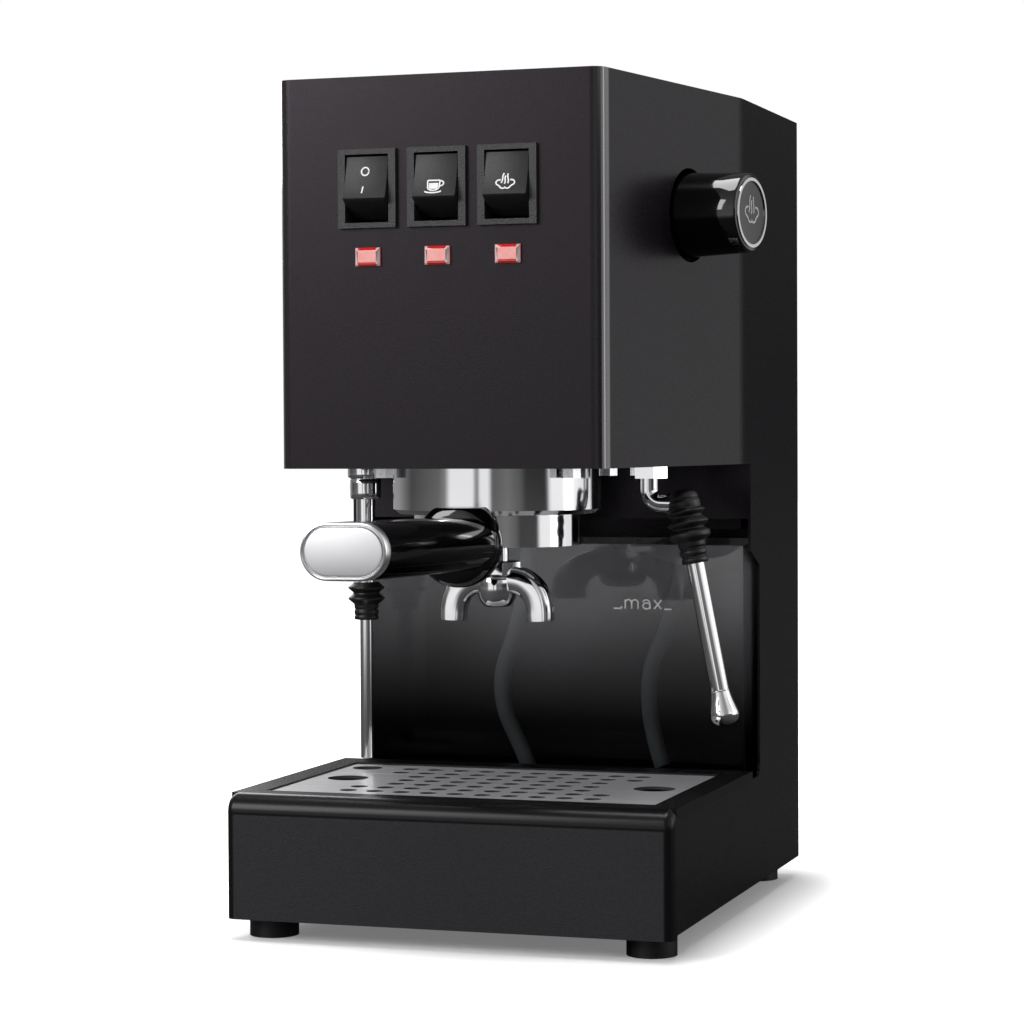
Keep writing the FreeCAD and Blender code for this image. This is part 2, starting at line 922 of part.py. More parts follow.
def dripGrate():
    sheet = box(
        "grate_sheet", "-grate_half", "grate_half", "-grate_front", "-grate_back", grateBottom, grateTop,
    )
    through = (f"{grateBottom} - 1", f"{grateTop} + 1")
    punches = [rod("grate_punch", radius, *through, x, y) for x, y, radius in grateHoles()]
    item = doc.addObject("Part::Cut", "drip_grate")
    item.Base = sheet
    item.Tool = group("grate_punches", punches)
    doc.recompute()
    piece("drip_grate", item)


# Water tank with a front that bows inwards, and the two hoses that hang in it


def waterTank():
    middle = "(tank_front - tank_curve)"
    cutDepth = "(tank_front - tank_half/4)"
    low = f"({panTop} + slide_gap)"
    block = box("tank_block", "-tank_half", "tank_half", cutDepth, "tank_back", low, "tank_top")
    scoop = rod("tank_scoop", "tank_curve", f"{low} - 1", "tank_top + 1", "0", middle)
    wall = "tank_wall"
    room = box(
        "tank_room", f"-tank_half + {wall}", f"tank_half - {wall}", cutDepth, f"tank_back - {wall}",
        f"{low} + {wall}", "tank_top + 1",
    )
    roomScoop = rod("room_scoop", f"tank_curve + {wall}", f"{low} - 1", "tank_top + 2", "0", middle)
    outside = cut("tank_outside", block, [scoop])
    inside = cut("tank_inside", room, [roomScoop])
    piece("water_tank", cut("water_tank", outside, [inside]))


def hose(node, stops):
    radii = hoseRadii(node, stops)
    item = bentTube(node, stops, radii, cells.hose_radius, cells.hose_bore)
    path = arcPath(stops, radii)
    section = math.pi * (cells.hose_radius ** 2 - cells.hose_bore ** 2)
    print(
        node, "length", round(path.Length, 1), "volume", round(item.Shape.Volume),
        round(section * path.Length),
    )
    piece(node, item)


def hoses():
    top = cells.head_bottom - cells.grommet_drop
    suctionStops = [
        vector(-cells.pump_x, cells.pump_y, top),
        vector(-cells.pump_x, cells.pump_y, 170),
        vector(-28, 70, 132),
        vector(-41, 64, 95),
        vector(-21, 62, 58),
        vector(-12, 62, 30),
    ]
    returnStops = [
        vector(cells.return_x, cells.pump_y, top),
        vector(cells.return_x, cells.pump_y, 172),
        vector(52, 71, 138),
        vector(33, 66, 96),
        vector(46, 64, 60),
    ]
    hose("suction_hose", suctionStops)
    hose("return_hose", returnStops)
    end = suctionStops[-1]
    heading = (end - suctionStops[-2]).normalize()
    strainer = turned(
        "suction_filter",
        [
            ("0", "0"),
            ("filter_nose", "0"),
            ("filter_radius", "filter_taper"),
            ("filter_radius", "filter_height"),
            ("0", "filter_height"),
        ],
    )
    strainer.Placement = FreeCAD.Placement(end, FreeCAD.Rotation(upward, heading))
    piece("suction_filter", strainer)


def hoseGrommets():
    corners = [
        ("hose_bore", "head_bottom - grommet_drop"),
        ("grommet_radius", "head_bottom - grommet_drop"),
        ("grommet_radius", "head_bottom"),
        ("grommet_neck", "head_bottom"),
        ("grommet_neck", floorTop),
        ("grommet_radius", floorTop),
        ("grommet_radius", f"{floorTop} + grommet_rise"),
        ("hose_bore", f"{floorTop} + grommet_rise"),
    ]
    bushes = [turnedAt("grommet", corners, x, "pump_y") for x in ("-pump_x", "return_x")]
    piece("hose_grommets", group("hose_grommets", bushes))


# Brew group, its gasket and shower parts

gasketTop = "(gasket_bottom + gasket_height)"
webBottom = "(gasket_bottom + gasket_height - web_drop)"
plateBottom = f"({webBottom} - plate_height)"
showerBottom = f"({plateBottom} - shower_height)"
shelfTop = "(group_bottom + lock_shelf)"
neckTop = "(head_bottom + group_neck_rise)"


def boltSpots():
    return [
        (x, f"({groupLine} {sign} bolt_reach)")
        for x in ("-bolt_side", "bolt_side")
        for sign in ("-", "+")
    ]


def groupHead():
    screwHole = "(screw_radius + seat_gap)"
    islandRadius = "(gasket_inner - 2*seat_gap)"
    corners = [
        ("lock_bore", "group_bottom"),
        ("group_radius - group_chamfer", "group_bottom"),
        ("group_radius", "group_bottom + group_chamfer"),
        ("group_radius", "head_bottom"),
        ("group_neck", "head_bottom"),
        ("group_neck", neckTop),
        (screwHole, neckTop),
        (screwHole, webBottom),
        (islandRadius, webBottom),
        (islandRadius, gasketTop),
        ("lock_bore", gasketTop),
        ("lock_bore", f"{shelfTop} + lock_channel_height"),
        ("lock_channel", f"{shelfTop} + lock_channel_height"),
        ("lock_channel", shelfTop),
        ("lock_bore", shelfTop),
    ]
    blank = turnedAt("group_blank", corners, "0", groupLine)
    gates = []
    for side in (0, 180):
        span = cells.lug_angle + cells.gate_margin
        middle = side - cells.handle_swing - cells.unlock_turn - span / 2
        gates.append(
            sector(
                "lug_gate", "lock_channel", "lug_angle + gate_margin", middle, "group_bottom - 1", shelfTop,
                groupLine,
            )
        )
    piece("group_head", cut("group_head", blank, gates))


def groupParts():
    gasketOuter = "(lock_bore - seat_gap)"
    gasket = [
        ("gasket_inner", "gasket_bottom"),
        (gasketOuter, "gasket_bottom"),
        (gasketOuter, gasketTop),
        ("gasket_inner", gasketTop),
    ]
    piece("group_gasket", turnedAt("group_gasket", gasket, "0", groupLine))
    hole = "(screw_radius + seat_gap)"
    plate = [
        (hole, plateBottom), ("shower_radius", plateBottom), ("shower_radius", webBottom),
        (hole, webBottom),
    ]
    piece("dispersion_plate", turnedAt("dispersion_plate", plate, "0", groupLine))
    screen = [
        (hole, showerBottom),
        ("shower_radius", showerBottom),
        ("shower_radius", plateBottom),
        ("shower_radius - shower_gauge", plateBottom),
        ("shower_radius - shower_gauge", f"{showerBottom} + shower_gauge"),
        (hole, f"{showerBottom} + shower_gauge"),
    ]
    piece("shower_screen", turnedAt("shower_screen", screen, "0", groupLine))
    screw = [
        ("0", f"{showerBottom} - screw_head_height"),
        ("screw_head", f"{showerBottom} - screw_head_height"),
        ("screw_head", showerBottom),
        ("screw_radius", showerBottom),
        ("screw_radius", neckTop),
        ("0", neckTop),
    ]
    piece("shower_screw", turnedAt("shower_screw", screw, "0", groupLine))
    bolts = []
    for x, y in boltSpots():
        head = hexagon("bolt_top", "bolt_flats", "head_bottom - bolt_head_height", "head_bottom", x, y)
        shank = rod("bolt_shank", "bolt_radius", "head_bottom", f"{floorTop} + flange_height", x, y)
        bolts.append(fuse("group_bolt", [head, shank]))
    piece("group_bolts", group("group_bolts", bolts))


# Portafilter, drawn with its handle straight ahead and then swung to its locked place

handleFrame = FreeCAD.Placement(
    vector(0, -cells.group_y, 0), FreeCAD.Rotation(upward, -cells.handle_swing)
)
lugBottom = f"({shelfTop} + slide_gap)"
basketTop = "(gasket_bottom - slide_gap)"
holderTop = "(gasket_bottom - slide_gap - basket_rim_height)"
holderShoulder = "(group_bottom - slide_gap)"


def swing(item):
    item.Placement = handleFrame
    return item


def portafilterBody():
    rim = "(lock_bore - slide_gap)"
    groove = "(holder_bore + 1.4*spring_wire)"
    corners = [
        ("spout_bore", "holder_bottom"),
        ("holder_radius", "holder_bottom"),
        ("holder_radius", holderShoulder),
        (rim, holderShoulder),
        (rim, holderTop),
        ("holder_bore", holderTop),
        ("holder_bore", "spring_z + 1.4*spring_wire"),
        (groove, "spring_z + 1.4*spring_wire"),
        (groove, "spring_z - 1.4*spring_wire"),
        ("holder_bore", "spring_z - 1.4*spring_wire"),
        ("holder_bore", "holder_bottom + holder_floor"),
        ("spout_bore", "holder_bottom + holder_floor"),
    ]
    cup = turned("holder_cup", corners)
    reach = "handle_start - arm_root"
    arm = crossRod(
        "holder_arm", vector(0, -1, 0), "arm_radius", reach, "0", "-arm_root", "handle_z + arm_lift",
    )
    lugs = []
    for side in (0, 180):
        lug = rod("lug", "lock_channel - slide_gap", lugBottom, f"{lugBottom} + lug_height")
        bind(lug, {"Angle": "lug_angle"})
        turn(lug, upward, side - cells.lug_angle / 2)
        lugs.append(place(lug, "0", "0", lugBottom))
    core = rod("holder_core", "holder_bore + 3*spring_wire", "holder_bottom", holderTop)
    solid = fuse("holder_solid", [cut("lug_ring", fuse("lug_pair", lugs), [core]), cup, arm])
    piece("portafilter_body", swing(solid))


def filterBasket():
    wall = "(holder_bore - spring_wire*2 + 2*seat_gap)"
    bottom = f"({basketTop} - basket_depth)"
    inner = f"({wall} - basket_gauge)"
    corners = [
        ("0", bottom),
        (wall, bottom),
        (wall, holderTop),
        ("basket_rim", holderTop),
        ("basket_rim", basketTop),
        (inner, basketTop),
        (inner, f"{bottom} + basket_gauge"),
        ("0", f"{bottom} + basket_gauge"),
    ]
    piece("filter_basket", swing(turned("filter_basket", corners)))
    spring = doc.addObject("Part::Torus", "basket_spring")
    bind(
        spring,
        {"Radius1": "holder_bore + 0.1*spring_wire", "Radius2": "spring_wire", "Angle3": "spring_span"},
    )
    lift = FreeCAD.Placement(vector(0, 0, cells.spring_z), FreeCAD.Rotation())
    spring.Placement = handleFrame.multiply(lift)
    piece("basket_spring", spring)


def stadium(width, height, reach, z):
    side = (width - height) / 2
    radius = height / 2
    middle = vector(0, -reach, z)

    def spot(x, z):
        return middle + vector(x, 0, z)

    edges = [
        Part.LineSegment(spot(-side, radius), spot(side, radius)),
        Part.Arc(spot(side, radius), spot(side + radius, 0), spot(side, -radius)),
        Part.LineSegment(spot(side, -radius), spot(-side, -radius)),
        Part.Arc(spot(-side, -radius), spot(-side - radius, 0), spot(-side, radius)),
    ]
    return Part.Wire([edge.toShape() for edge in edges])


def portafilterHandle():
    shoulder = "(root_depth - root_band)"
    profile = [("0", "0"), ("root_radius", "0"), ("root_radius", "root_band")]
    for share in (30, 60, 90):
        lean = f"{share} * 1 deg"
        profile.append(
            (f"root_radius - {shoulder}*(1 - cos({lean}))", f"root_band + {shoulder}*sin({lean})"),
        )
    root = turned("handle_root", profile + [("0", "root_depth")])
    root.Placement = FreeCAD.Placement(
        vector(0, -cells.handle_start, cells.handle_z), FreeCAD.Rotation(upward, vector(0, -1, 0))
    )
    start = stadium(cells.handle_width, cells.handle_thick, cells.handle_start, cells.handle_z)
    end = stadium(
        cells.handle_width, cells.handle_thick, cells.handle_end, cells.handle_z + cells.handle_rise,
    )
    bar = doc.addObject("Part::Feature", "handle_bar")
    bar.Shape = Part.makeLoft([start, end], True, True)
    flat = "(handle_z + root_flat)"
    trim = box(
        "root_trim", "-2*root_radius", "2*root_radius",
        "-handle_start - 2*root_depth", "-handle_start + 1", flat,
        f"{flat} + root_radius",
    )
    grip = cut("portafilter_handle", fuse("handle_blank", [root, bar]), [trim])
    piece("portafilter_handle", swing(grip))
    cap = doc.addObject("Part::Feature", "handle_end_cap")
    cap.Shape = Part.Face(end).extrude(vector(0, -cells.cap_depth, 0))
    piece("handle_end_cap", swing(cap))


# Double spout: open channels that arch down from the nut to two outlets


def arch(innerX, innerZ, footX):
    turns = [f"{degrees} * 1 deg" for degrees in (0, 18, 36, 54, 72, 90)]
    outer = [
        (
            f"spout_shoulder + (spout_outer - spout_shoulder)*sin({lean})",
            f"spout_outlet + (spout_crown - spout_outlet)*cos({lean})",
        )
        for lean in turns
    ]
    inner = [
        (
            f"{innerX} + ({footX} - ({innerX}))*sin({lean})",
            f"spout_outlet + ({innerZ} - spout_outlet)*cos({lean})",
        )
        for lean in turns
    ]
    right = outer + inner[::-1]
    left = [(f"-({x})", z) for x, z in right[::-1]]
    return right + left


def doubleSpout():
    neck = rod("spout_neck", "spout_neck", "spout_nut_bottom", "holder_bottom")
    nut = hexagon("spout_nut", "spout_nut_flats", "spout_nut_bottom", "spout_nut_top", "0", "0")
    body = prism(
        "spout_arch", "XZ_Plane", arch("spout_fork", "spout_arch", "spout_inner"),
        "-spout_thick/2", "spout_thick"
    )
    bulb = turned(
        "spout_bulb",
        [
            ("0", "spout_bulb_bottom"),
            ("spout_bulb/2", "spout_bulb_bottom + spout_bulb/8"),
            ("0.87*spout_bulb", "spout_bulb_bottom + spout_bulb/2"),
            ("spout_bulb", "spout_bulb_bottom + spout_bulb"),
            ("spout_bulb", "spout_nut_bottom"),
            ("0", "spout_nut_bottom"),
        ],
    )
    wall = "spout_wall"
    channel = prism(
        "spout_channel",
        "XZ_Plane",
        arch(f"spout_fork + {wall}/2", f"spout_arch + {wall}", f"spout_inner + {wall}"),
        f"-spout_thick/2 + {wall}",
        f"spout_thick - 2*{wall}",
    )
    bore = rod("spout_bore", "spout_bore", f"spout_arch + {wall}", "holder_bottom + 1")
    solid = cut("double_spout", fuse("spout_blank", [neck, nut, body, bulb]), [channel, bore])
    piece("double_spout", swing(solid))


# Boiler on the group, with its elements and thermostats

flangeTop = f"({floorTop} + flange_height)"
sealTop = f"({neckTop} + seal_height)"


def boiler():
    y0 = f"({groupLine} - flange_half_y)"
    y1 = f"({groupLine} + flange_half_y)"
    flange = box("boiler_flange", "-flange_half_x", "flange_half_x", y0, y1, floorTop, flangeTop)
    barrel = rod("boiler_barrel", "boiler_radius", floorTop, "boiler_top", "0", groupLine)
    tools = [
        rod("neck_seat", "group_neck + seat_gap", f"{floorTop} - 1", sealTop, "0", groupLine),
        rod(
            "boiler_room", "boiler_radius - boiler_wall", f"{floorTop} - 1", "boiler_top - boiler_wall",
            "0", groupLine,
        ),
    ]
    for x, y in boltSpots():
        tools.append(rod("bolt_tap", "bolt_radius + seat_gap", f"{floorTop} - 1", f"{flangeTop} + 1", x, y))
    piece("boiler_body", cut("boiler_body", fuse("boiler_blank", [flange, barrel]), tools))
    ring = [
        ("group_neck - seal_width", neckTop),
        ("group_neck", neckTop),
        ("group_neck", sealTop),
        ("group_neck - seal_width", sealTop),
    ]
    piece("boiler_seal", turnedAt("boiler_seal", ring, "0", groupLine))


def tab(name, x, y, z):
    return box(
        name, f"{x} - tab_width/2", f"{x} + tab_width/2", f"{y} - tab_gauge/2", f"{y} + tab_gauge/2", z,
        f"{z} + tab_height",
    )


def heatingElements():
    top = "(element_bottom + element_height)"
    elements = []
    for side in (0, 180):
        start = side - cells.element_span / 2
        shell = sector(
            "element_arc", "boiler_radius + seat_gap + element_thick",
            "element_span", start, "element_bottom", top, groupLine
        )
        core = rod(
            "element_core", "boiler_radius + seat_gap", "element_bottom - 1", f"{top} + 1", "0", groupLine,
        )
        x = f"{'' if side == 0 else '-'}(boiler_radius + element_thick/2)"
        elements.append(fuse("element", [cut("element_band", shell, [core]), elementTab(x, top)]))
    piece("heating_elements", group("heating_elements", elements))


def elementTab(x, z):
    return box(
        "element_tab", f"{x} - tab_gauge/2", f"{x} + tab_gauge/2", f"{groupLine} - tab_width/2",
        f"{groupLine} + tab_width/2", z, f"{z} + tab_height",
    )


def thermostats():
    spots = {
        "brew": ("-brew_sensor_x", "(-group_y - brew_sensor_y)"),
        "steam": ("steam_sensor_x", "(-group_y - steam_sensor_y)"),
    }
    cans = []
    for name, (x, y) in spots.items():
        top = "(boiler_top + thermostat_height)"
        can = rod(f"{name}_can", "thermostat_radius", "boiler_top", top, x, y)
        blades = [tab("blade", f"({x} {sign} thermostat_radius/2)", y, top) for sign in ("-", "+")]
        cans.append(fuse(f"{name}_thermostat", [can] + blades))
    piece("thermostats", group("thermostats", cans))


# Three-way valve, its coil and the discharge line under it

valveTop = f"({floorTop} + valve_height)"
coilTop = f"({valveTop} + seat_gap + coil_height)"
coilX = "(-(coil_left + coil_right)/2)"
coilY = "(-(valve_front + valve_back)/2)"


def solenoid():
    block = box(
        "valve_block", "-valve_left", "-flange_half_x", "-valve_front", "-valve_back", floorTop, valveTop,
    )
    armature = rod("armature", "armature_radius", floorTop, coilTop, coilX, coilY)
    nut = rod("armature_nut", "armature_nut", coilTop, f"{coilTop} + armature_nut_height", coilX, coilY)
    piece("solenoid_valve", fuse("solenoid_valve", [block, armature, nut]))
    can = box(
        "coil_can", "-coil_left", "-coil_right", "-valve_front", "-valve_back", f"{valveTop} + seat_gap",
        coilTop,
    )
    bore = rod("coil_bore", "armature_radius + seat_gap", valveTop, f"{coilTop} + 1", coilX, coilY)
    piece("solenoid_coil", cut("solenoid_coil", can, [bore]))


def discharge():
    spot = ("-discharge_x", "-discharge_y")
    nut = hexagon("discharge_hex", "nut_flats", "nut_bottom", "head_bottom", *spot)
    stub = rod("discharge_stub", "stub_radius", "head_bottom", floorTop, *spot)
    bore = rod(
        "discharge_bore", "upper_pipe + seat_gap", "nut_bottom - 1", "nut_bottom + pipe_entry", *spot,
    )
    drain = rod("discharge_drain", "upper_pipe - pipe_wall", "nut_bottom", f"{floorTop} + 1", *spot)
    piece("discharge_nut", cut("discharge_nut", fuse("discharge_blank", [nut, stub]), [bore, drain]))
    upperEnd = "(bellows_top - pipe_entry)"
    upper = rod("upper_outside", "upper_pipe", upperEnd, "nut_bottom + pipe_entry", *spot)
    upperBore = rod("upper_inside", "upper_pipe - pipe_wall", f"{upperEnd} - 1", "head_bottom", *spot)
    piece("discharge_pipe_upper", cut("discharge_pipe_upper", upper, [upperBore]))
    lowerStart = "(bellows_bottom + pipe_entry)"
    lower = rod("lower_outside", "lower_pipe", "discharge_outlet", lowerStart, *spot)
    lowerBore = rod(
        "lower_inside", "lower_pipe - pipe_wall", "discharge_outlet - 1", f"{lowerStart} + 1", *spot,
    )
    piece("discharge_pipe_lower", cut("discharge_pipe_lower", lower, [lowerBore]))
    corners = [("upper_pipe + seat_gap", "bellows_top")]
    for rib in range(2):
        top = f"(bellows_top - {rib}*bellows_pitch)"
        corners.append(("bellows_waist", top))
        corners.append(("bellows_rib", f"{top} - 0.25*bellows_pitch"))
        corners.append(("bellows_rib", f"{top} - 0.7*bellows_pitch"))
    corners += [
        ("bellows_waist", "bellows_top - 2*bellows_pitch"),
        ("collar_radius", "bellows_top - 2*bellows_pitch"),
        ("collar_radius", "bellows_bottom"),
        ("lower_pipe + seat_gap", "bellows_bottom"),
        ("lower_pipe + seat_gap", f"{lowerStart} + seat_gap"),
        ("lower_pipe - pipe_wall", f"{lowerStart} + seat_gap"),
        ("lower_pipe - pipe_wall", f"{upperEnd} - seat_gap"),
        ("upper_pipe + seat_gap", f"{upperEnd} - seat_gap"),
    ]
    piece("discharge_bellows", turnedAt("discharge_bellows", corners, *spot))


# Vibration pump in its bracket, overpressure valve and the tubes that leave it

noseBottom = f"({floorTop} + grommet_rise)"
coreTop = "(pump_core_bottom + pump_core_height)"
outletTop = f"({coreTop} + pump_outlet_height)"


def pump():
    spot = ("-pump_x", "pump_y")
    nose = rod("pump_nose", "pump_nose", noseBottom, "pump_core_bottom", *spot)
    core = box(
        "pump_core", "-pump_x - pump_core_x/2", "-pump_x + pump_core_x/2", "pump_y - pump_core_y/2",
        "pump_y + pump_core_y/2", "pump_core_bottom", coreTop,
    )
    outlet = rod("pump_outlet", "pump_outlet", coreTop, outletTop, *spot)
    piece("pump_body", fuse("pump_body", [nose, core, outlet]))
    x0 = "(-pump_x - pump_core_x/2 - bracket_margin)"
    x1 = "(-pump_x + pump_core_x/2 + bracket_margin)"
    reach = "(pump_core_y/2 + mount_gap)"
    outer = f"({reach} + sheet_gauge)"
    middle = "(pump_core_bottom + pump_core_height/2)"
    wallTop = f"{middle} + mount_height"
    plate = box(
        "bracket_plate", x0, x1, f"pump_y - {outer}", f"pump_y + {outer}", floorTop,
        f"{floorTop} + sheet_gauge",
    )
    frontWall = box("bracket_front", x0, x1, f"pump_y - {outer}", f"pump_y - {reach}", floorTop, wallTop)
    backWall = box("bracket_back", x0, x1, f"pump_y + {reach}", f"pump_y + {outer}", floorTop, wallTop)
    way = rod("bracket_way", "grommet_radius + slide_gap", floorTop, f"{floorTop} + 2*sheet_gauge", *spot)
    piece("pump_bracket", cut("pump_bracket", fuse("bracket_blank", [plate, frontWall, backWall]), [way]))
    mounts = []
    for sign in ("-", "+"):
        inner = f"(pump_y {sign} pump_core_y/2)"
        far = f"(pump_y {sign} {reach})"
        y0, y1 = (far, inner) if sign == "-" else (inner, far)
        mounts.append(
            box(
                "pump_mount", "-pump_x - mount_width/2", "-pump_x + mount_width/2", y0, y1,
                f"{middle} - mount_height/2", f"{middle} + mount_height/2",
            )
        )
    piece("pump_mounts", group("pump_mounts", mounts))
    side = "relief_side/2"
    relief = box(
        "overpressure_valve", f"-pump_x - {side}",
        f"-pump_x + {side}", f"pump_y - {side}", f"pump_y + {side}",
        outletTop, f"{outletTop} + relief_height",
    )
    piece("overpressure_valve", relief)


def pumpTubes():
    coreEnd = cells.pump_core_bottom + cells.pump_core_height
    z = coreEnd + cells.pump_outlet_height + cells.relief_height / 2
    side = cells.relief_side / 2
    seat = cells.head_bottom + cells.sheet_gauge + cells.grommet_rise
    returnStops = [
        vector(-cells.pump_x + side, cells.pump_y, z),
        vector(cells.return_x, cells.pump_y, z),
        vector(cells.return_x, cells.pump_y, seat),
    ]
    pressureStops = [
        vector(-cells.pump_x, cells.pump_y - side, z),
        vector(-cells.pump_x, -cells.inlet_y, z),
        vector(-cells.pump_x, -cells.inlet_y, cells.boiler_top),
    ]
    for node, stops in (("return_tube", returnStops), ("pressure_tube", pressureStops)):
        piece(node, bentTube(node, stops, [cells.tube_bend], cells.tube_radius, cells.tube_bore))


# Steam valve on the boiler, with the knob on the slanted wall


def steamValve():
    frame = knobFrame()
    bore = "(spindle_radius + running_gap)"
    barrel = turned(
        "steam_barrel",
        [
            ("0", "-steam_body_end"),
            ("steam_body_radius", "-steam_body_end"),
            ("steam_body_radius", "-steam_body_start"),
            (bore, "-steam_body_start"),
            (bore, "-spindle_depth - slide_gap"),
            ("0", "-spindle_depth - slide_gap"),
        ],
    )
    barrel.Placement = frame
    footSpot = alongKnob(cells.steam_foot_at)
    foot = doc.addObject("Part::Box", "steam_foot")
    bind(
        foot,
        {
            "Length": "steam_foot_side", "Width": "steam_foot_side",
            "Height": "knob_z - steam_body_radius/2 - boiler_top",
        },
    )
    quarter = cells.steam_foot_side / 2
    lean = FreeCAD.Rotation(vector(1, 0, 0), wallNormal())
    foot.Placement = FreeCAD.Placement(
        vector(footSpot.x, footSpot.y, cells.boiler_top) + lean.multVec(vector(-quarter, -quarter, 0)), lean
    )
    outlet = alongKnob(cells.outlet_at)
    bossTop = "(knob_z - spindle_radius - steam_body_radius/3)"
    boss = rod(
        "steam_boss", "outlet_boss", "knob_z - outlet_boss_drop", bossTop, str(outlet.x), str(outlet.y),
    )
    piece("steam_valve_body", fuse("steam_valve_body", [barrel, foot, boss]))
    pipe = rod(
        "pipe_outside", "outlet_pipe", "head_bottom", "knob_z - outlet_boss_drop", str(outlet.x),
        str(outlet.y),
    )
    inside = rod(
        "pipe_inside", "outlet_pipe - pipe_wall", "head_bottom - 1", "knob_z", str(outlet.x), str(outlet.y),
    )
    piece("steam_outlet_pipe", cut("steam_outlet_pipe", pipe, [inside]))


def steamKnob():
    frame = knobFrame()
    spindleEnd = "(knob_socket - knob_in - seat_gap)"
    spindle = [
        ("0", "-spindle_depth"),
        ("spindle_radius", "-spindle_depth"),
        ("spindle_radius", spindleEnd),
        ("0", spindleEnd),
    ]
    socket = "(spindle_radius + seat_gap/2)"
    knob = [
        (socket, "-knob_in"),
        ("knob_base", "-knob_in"),
        ("knob_base", "0"),
        ("knob_end", "knob_out - 1"),
        ("knob_end - 1", "knob_out"),
        ("ring_outer + seat_gap", "knob_out"),
        ("ring_outer + seat_gap", "knob_out - ring_depth"),
        ("ring_inner - seat_gap", "knob_out - ring_depth"),
        ("ring_inner - seat_gap", "knob_out"),
        ("0", "knob_out"),
        ("0", "knob_socket - knob_in"),
        (socket, "knob_socket - knob_in"),
    ]
    ring = [
        ("ring_inner", "knob_out - ring_depth"),
        ("ring_outer", "knob_out - ring_depth"),
        ("ring_outer", "knob_out + ring_proud"),
        ("ring_inner", "knob_out + ring_proud"),
    ]
    for node, corners in (("steam_spindle", spindle), ("steam_knob", knob), ("knob_ring", ring)):
        part = turned(node, corners)
        part.Placement = frame
        piece(node, part)


# Steam wand: the nut holds it, and it swings about the nut's upright axis


def wandStops():
    outlet = alongKnob(cells.outlet_at)
    root = vector(outlet.x, outlet.y, 0)
    return [
        root + vector(0, 0, cells.head_bottom - cells.slide_gap),
        root + vector(0, 0, cells.wand_elbow),
        root + vector(cells.wand_reach, 0, cells.wand_elbow - cells.wand_drop),
        root + vector(cells.wand_tip_out, 0, cells.wand_tip_z),
    ]


def wandFrame(distance):
    stops = wandStops()
    heading = (stops[3] - stops[2]).normalize()
    return FreeCAD.Placement(stops[2] + heading * distance, FreeCAD.Rotation(upward, heading))


def wandNut():
    outlet = alongKnob(cells.outlet_at)
    spot = (str(outlet.x), str(outlet.y))
    low = "(head_bottom - wand_nut_height)"
    nut = hexagon("wand_hex", "wand_nut_flats", low, "head_bottom", *spot)
    bore = rod("wand_nut_bore", "wand_radius + running_gap", f"{low} - 1", "head_bottom + 1", *spot)
    piece("wand_nut", cut("wand_nut", nut, [bore]))


def steamWand():
    stops = wandStops()
    run = (stops[3] - stops[2]).Length
    tubeEnd = stops[3] - (stops[3] - stops[2]).normalize() * (cells.tip_length - cells.tip_cover)
    radii = [cells.wand_bend, cells.wand_bend]
    piece(
        "steam_wand",
        bentTube("steam_wand", stops[:3] + [tubeEnd], radii, cells.wand_radius, cells.wand_bore),
    )
    corners = [
        ("0", "-grip_crown"),
        ("0.6*grip_waist", "-0.9*grip_crown"),
        ("0.93*grip_waist", "-0.55*grip_crown"),
        ("grip_waist", "0"),
    ]
    for rib in range(3):
        start = f"(grip_first + {rib}*grip_pitch)"
        corners.append(("grip_waist", start))
        corners.append(("grip_rib", f"{start} + 0.25*grip_pitch"))
        corners.append(("grip_rib", f"{start} + 0.65*grip_pitch"))
    collarStart = "(grip_first + 3*grip_pitch)"
    corners += [
        ("grip_collar", collarStart),
        ("grip_collar", f"{collarStart} + 0.3*grip_collar_length"),
        ("0.9*grip_collar", f"{collarStart} + 0.4*grip_collar_length"),
        ("grip_collar", f"{collarStart} + 0.5*grip_collar_length"),
        ("0.93*grip_collar", f"{collarStart} + grip_collar_length"),
        ("0", f"{collarStart} + grip_collar_length"),
    ]
    moulding = turned("grip_moulding", corners)
    moulding.Placement = wandFrame(0)
    path = arcPath(stops[:3] + [tubeEnd], radii)
    way = doc.addObject("Part::Feature", "grip_way")
    way.Shape = roundBar(path, stops[0], stops[1] - stops[0], cells.wand_radius + cells.seat_gap)
    piece("wand_grip", cut("wand_grip", moulding, [way]))
    bore = "(wand_radius + seat_gap)"
    tip = turned(
        "wand_tip",
        [
            (bore, "0"),
            ("wand_radius + 1", "0"),
            ("wand_radius + 1", "tip_cover/2"),
            ("tip_bulb", "tip_length*0.55"),
            ("tip_bulb", "tip_length*0.85"),
            ("tip_bulb*0.6", "tip_length"),
            ("tip_hole", "tip_length"),
            ("tip_hole", "tip_cover + seat_gap"),
            (bore, "tip_cover + seat_gap"),
        ],
    )
    tip.Placement = wandFrame(run - cells.tip_length)
    piece("wand_tip", tip)


# Rocker switches with their frames, and the indicator lamps

skinFront = "(-head_front)"


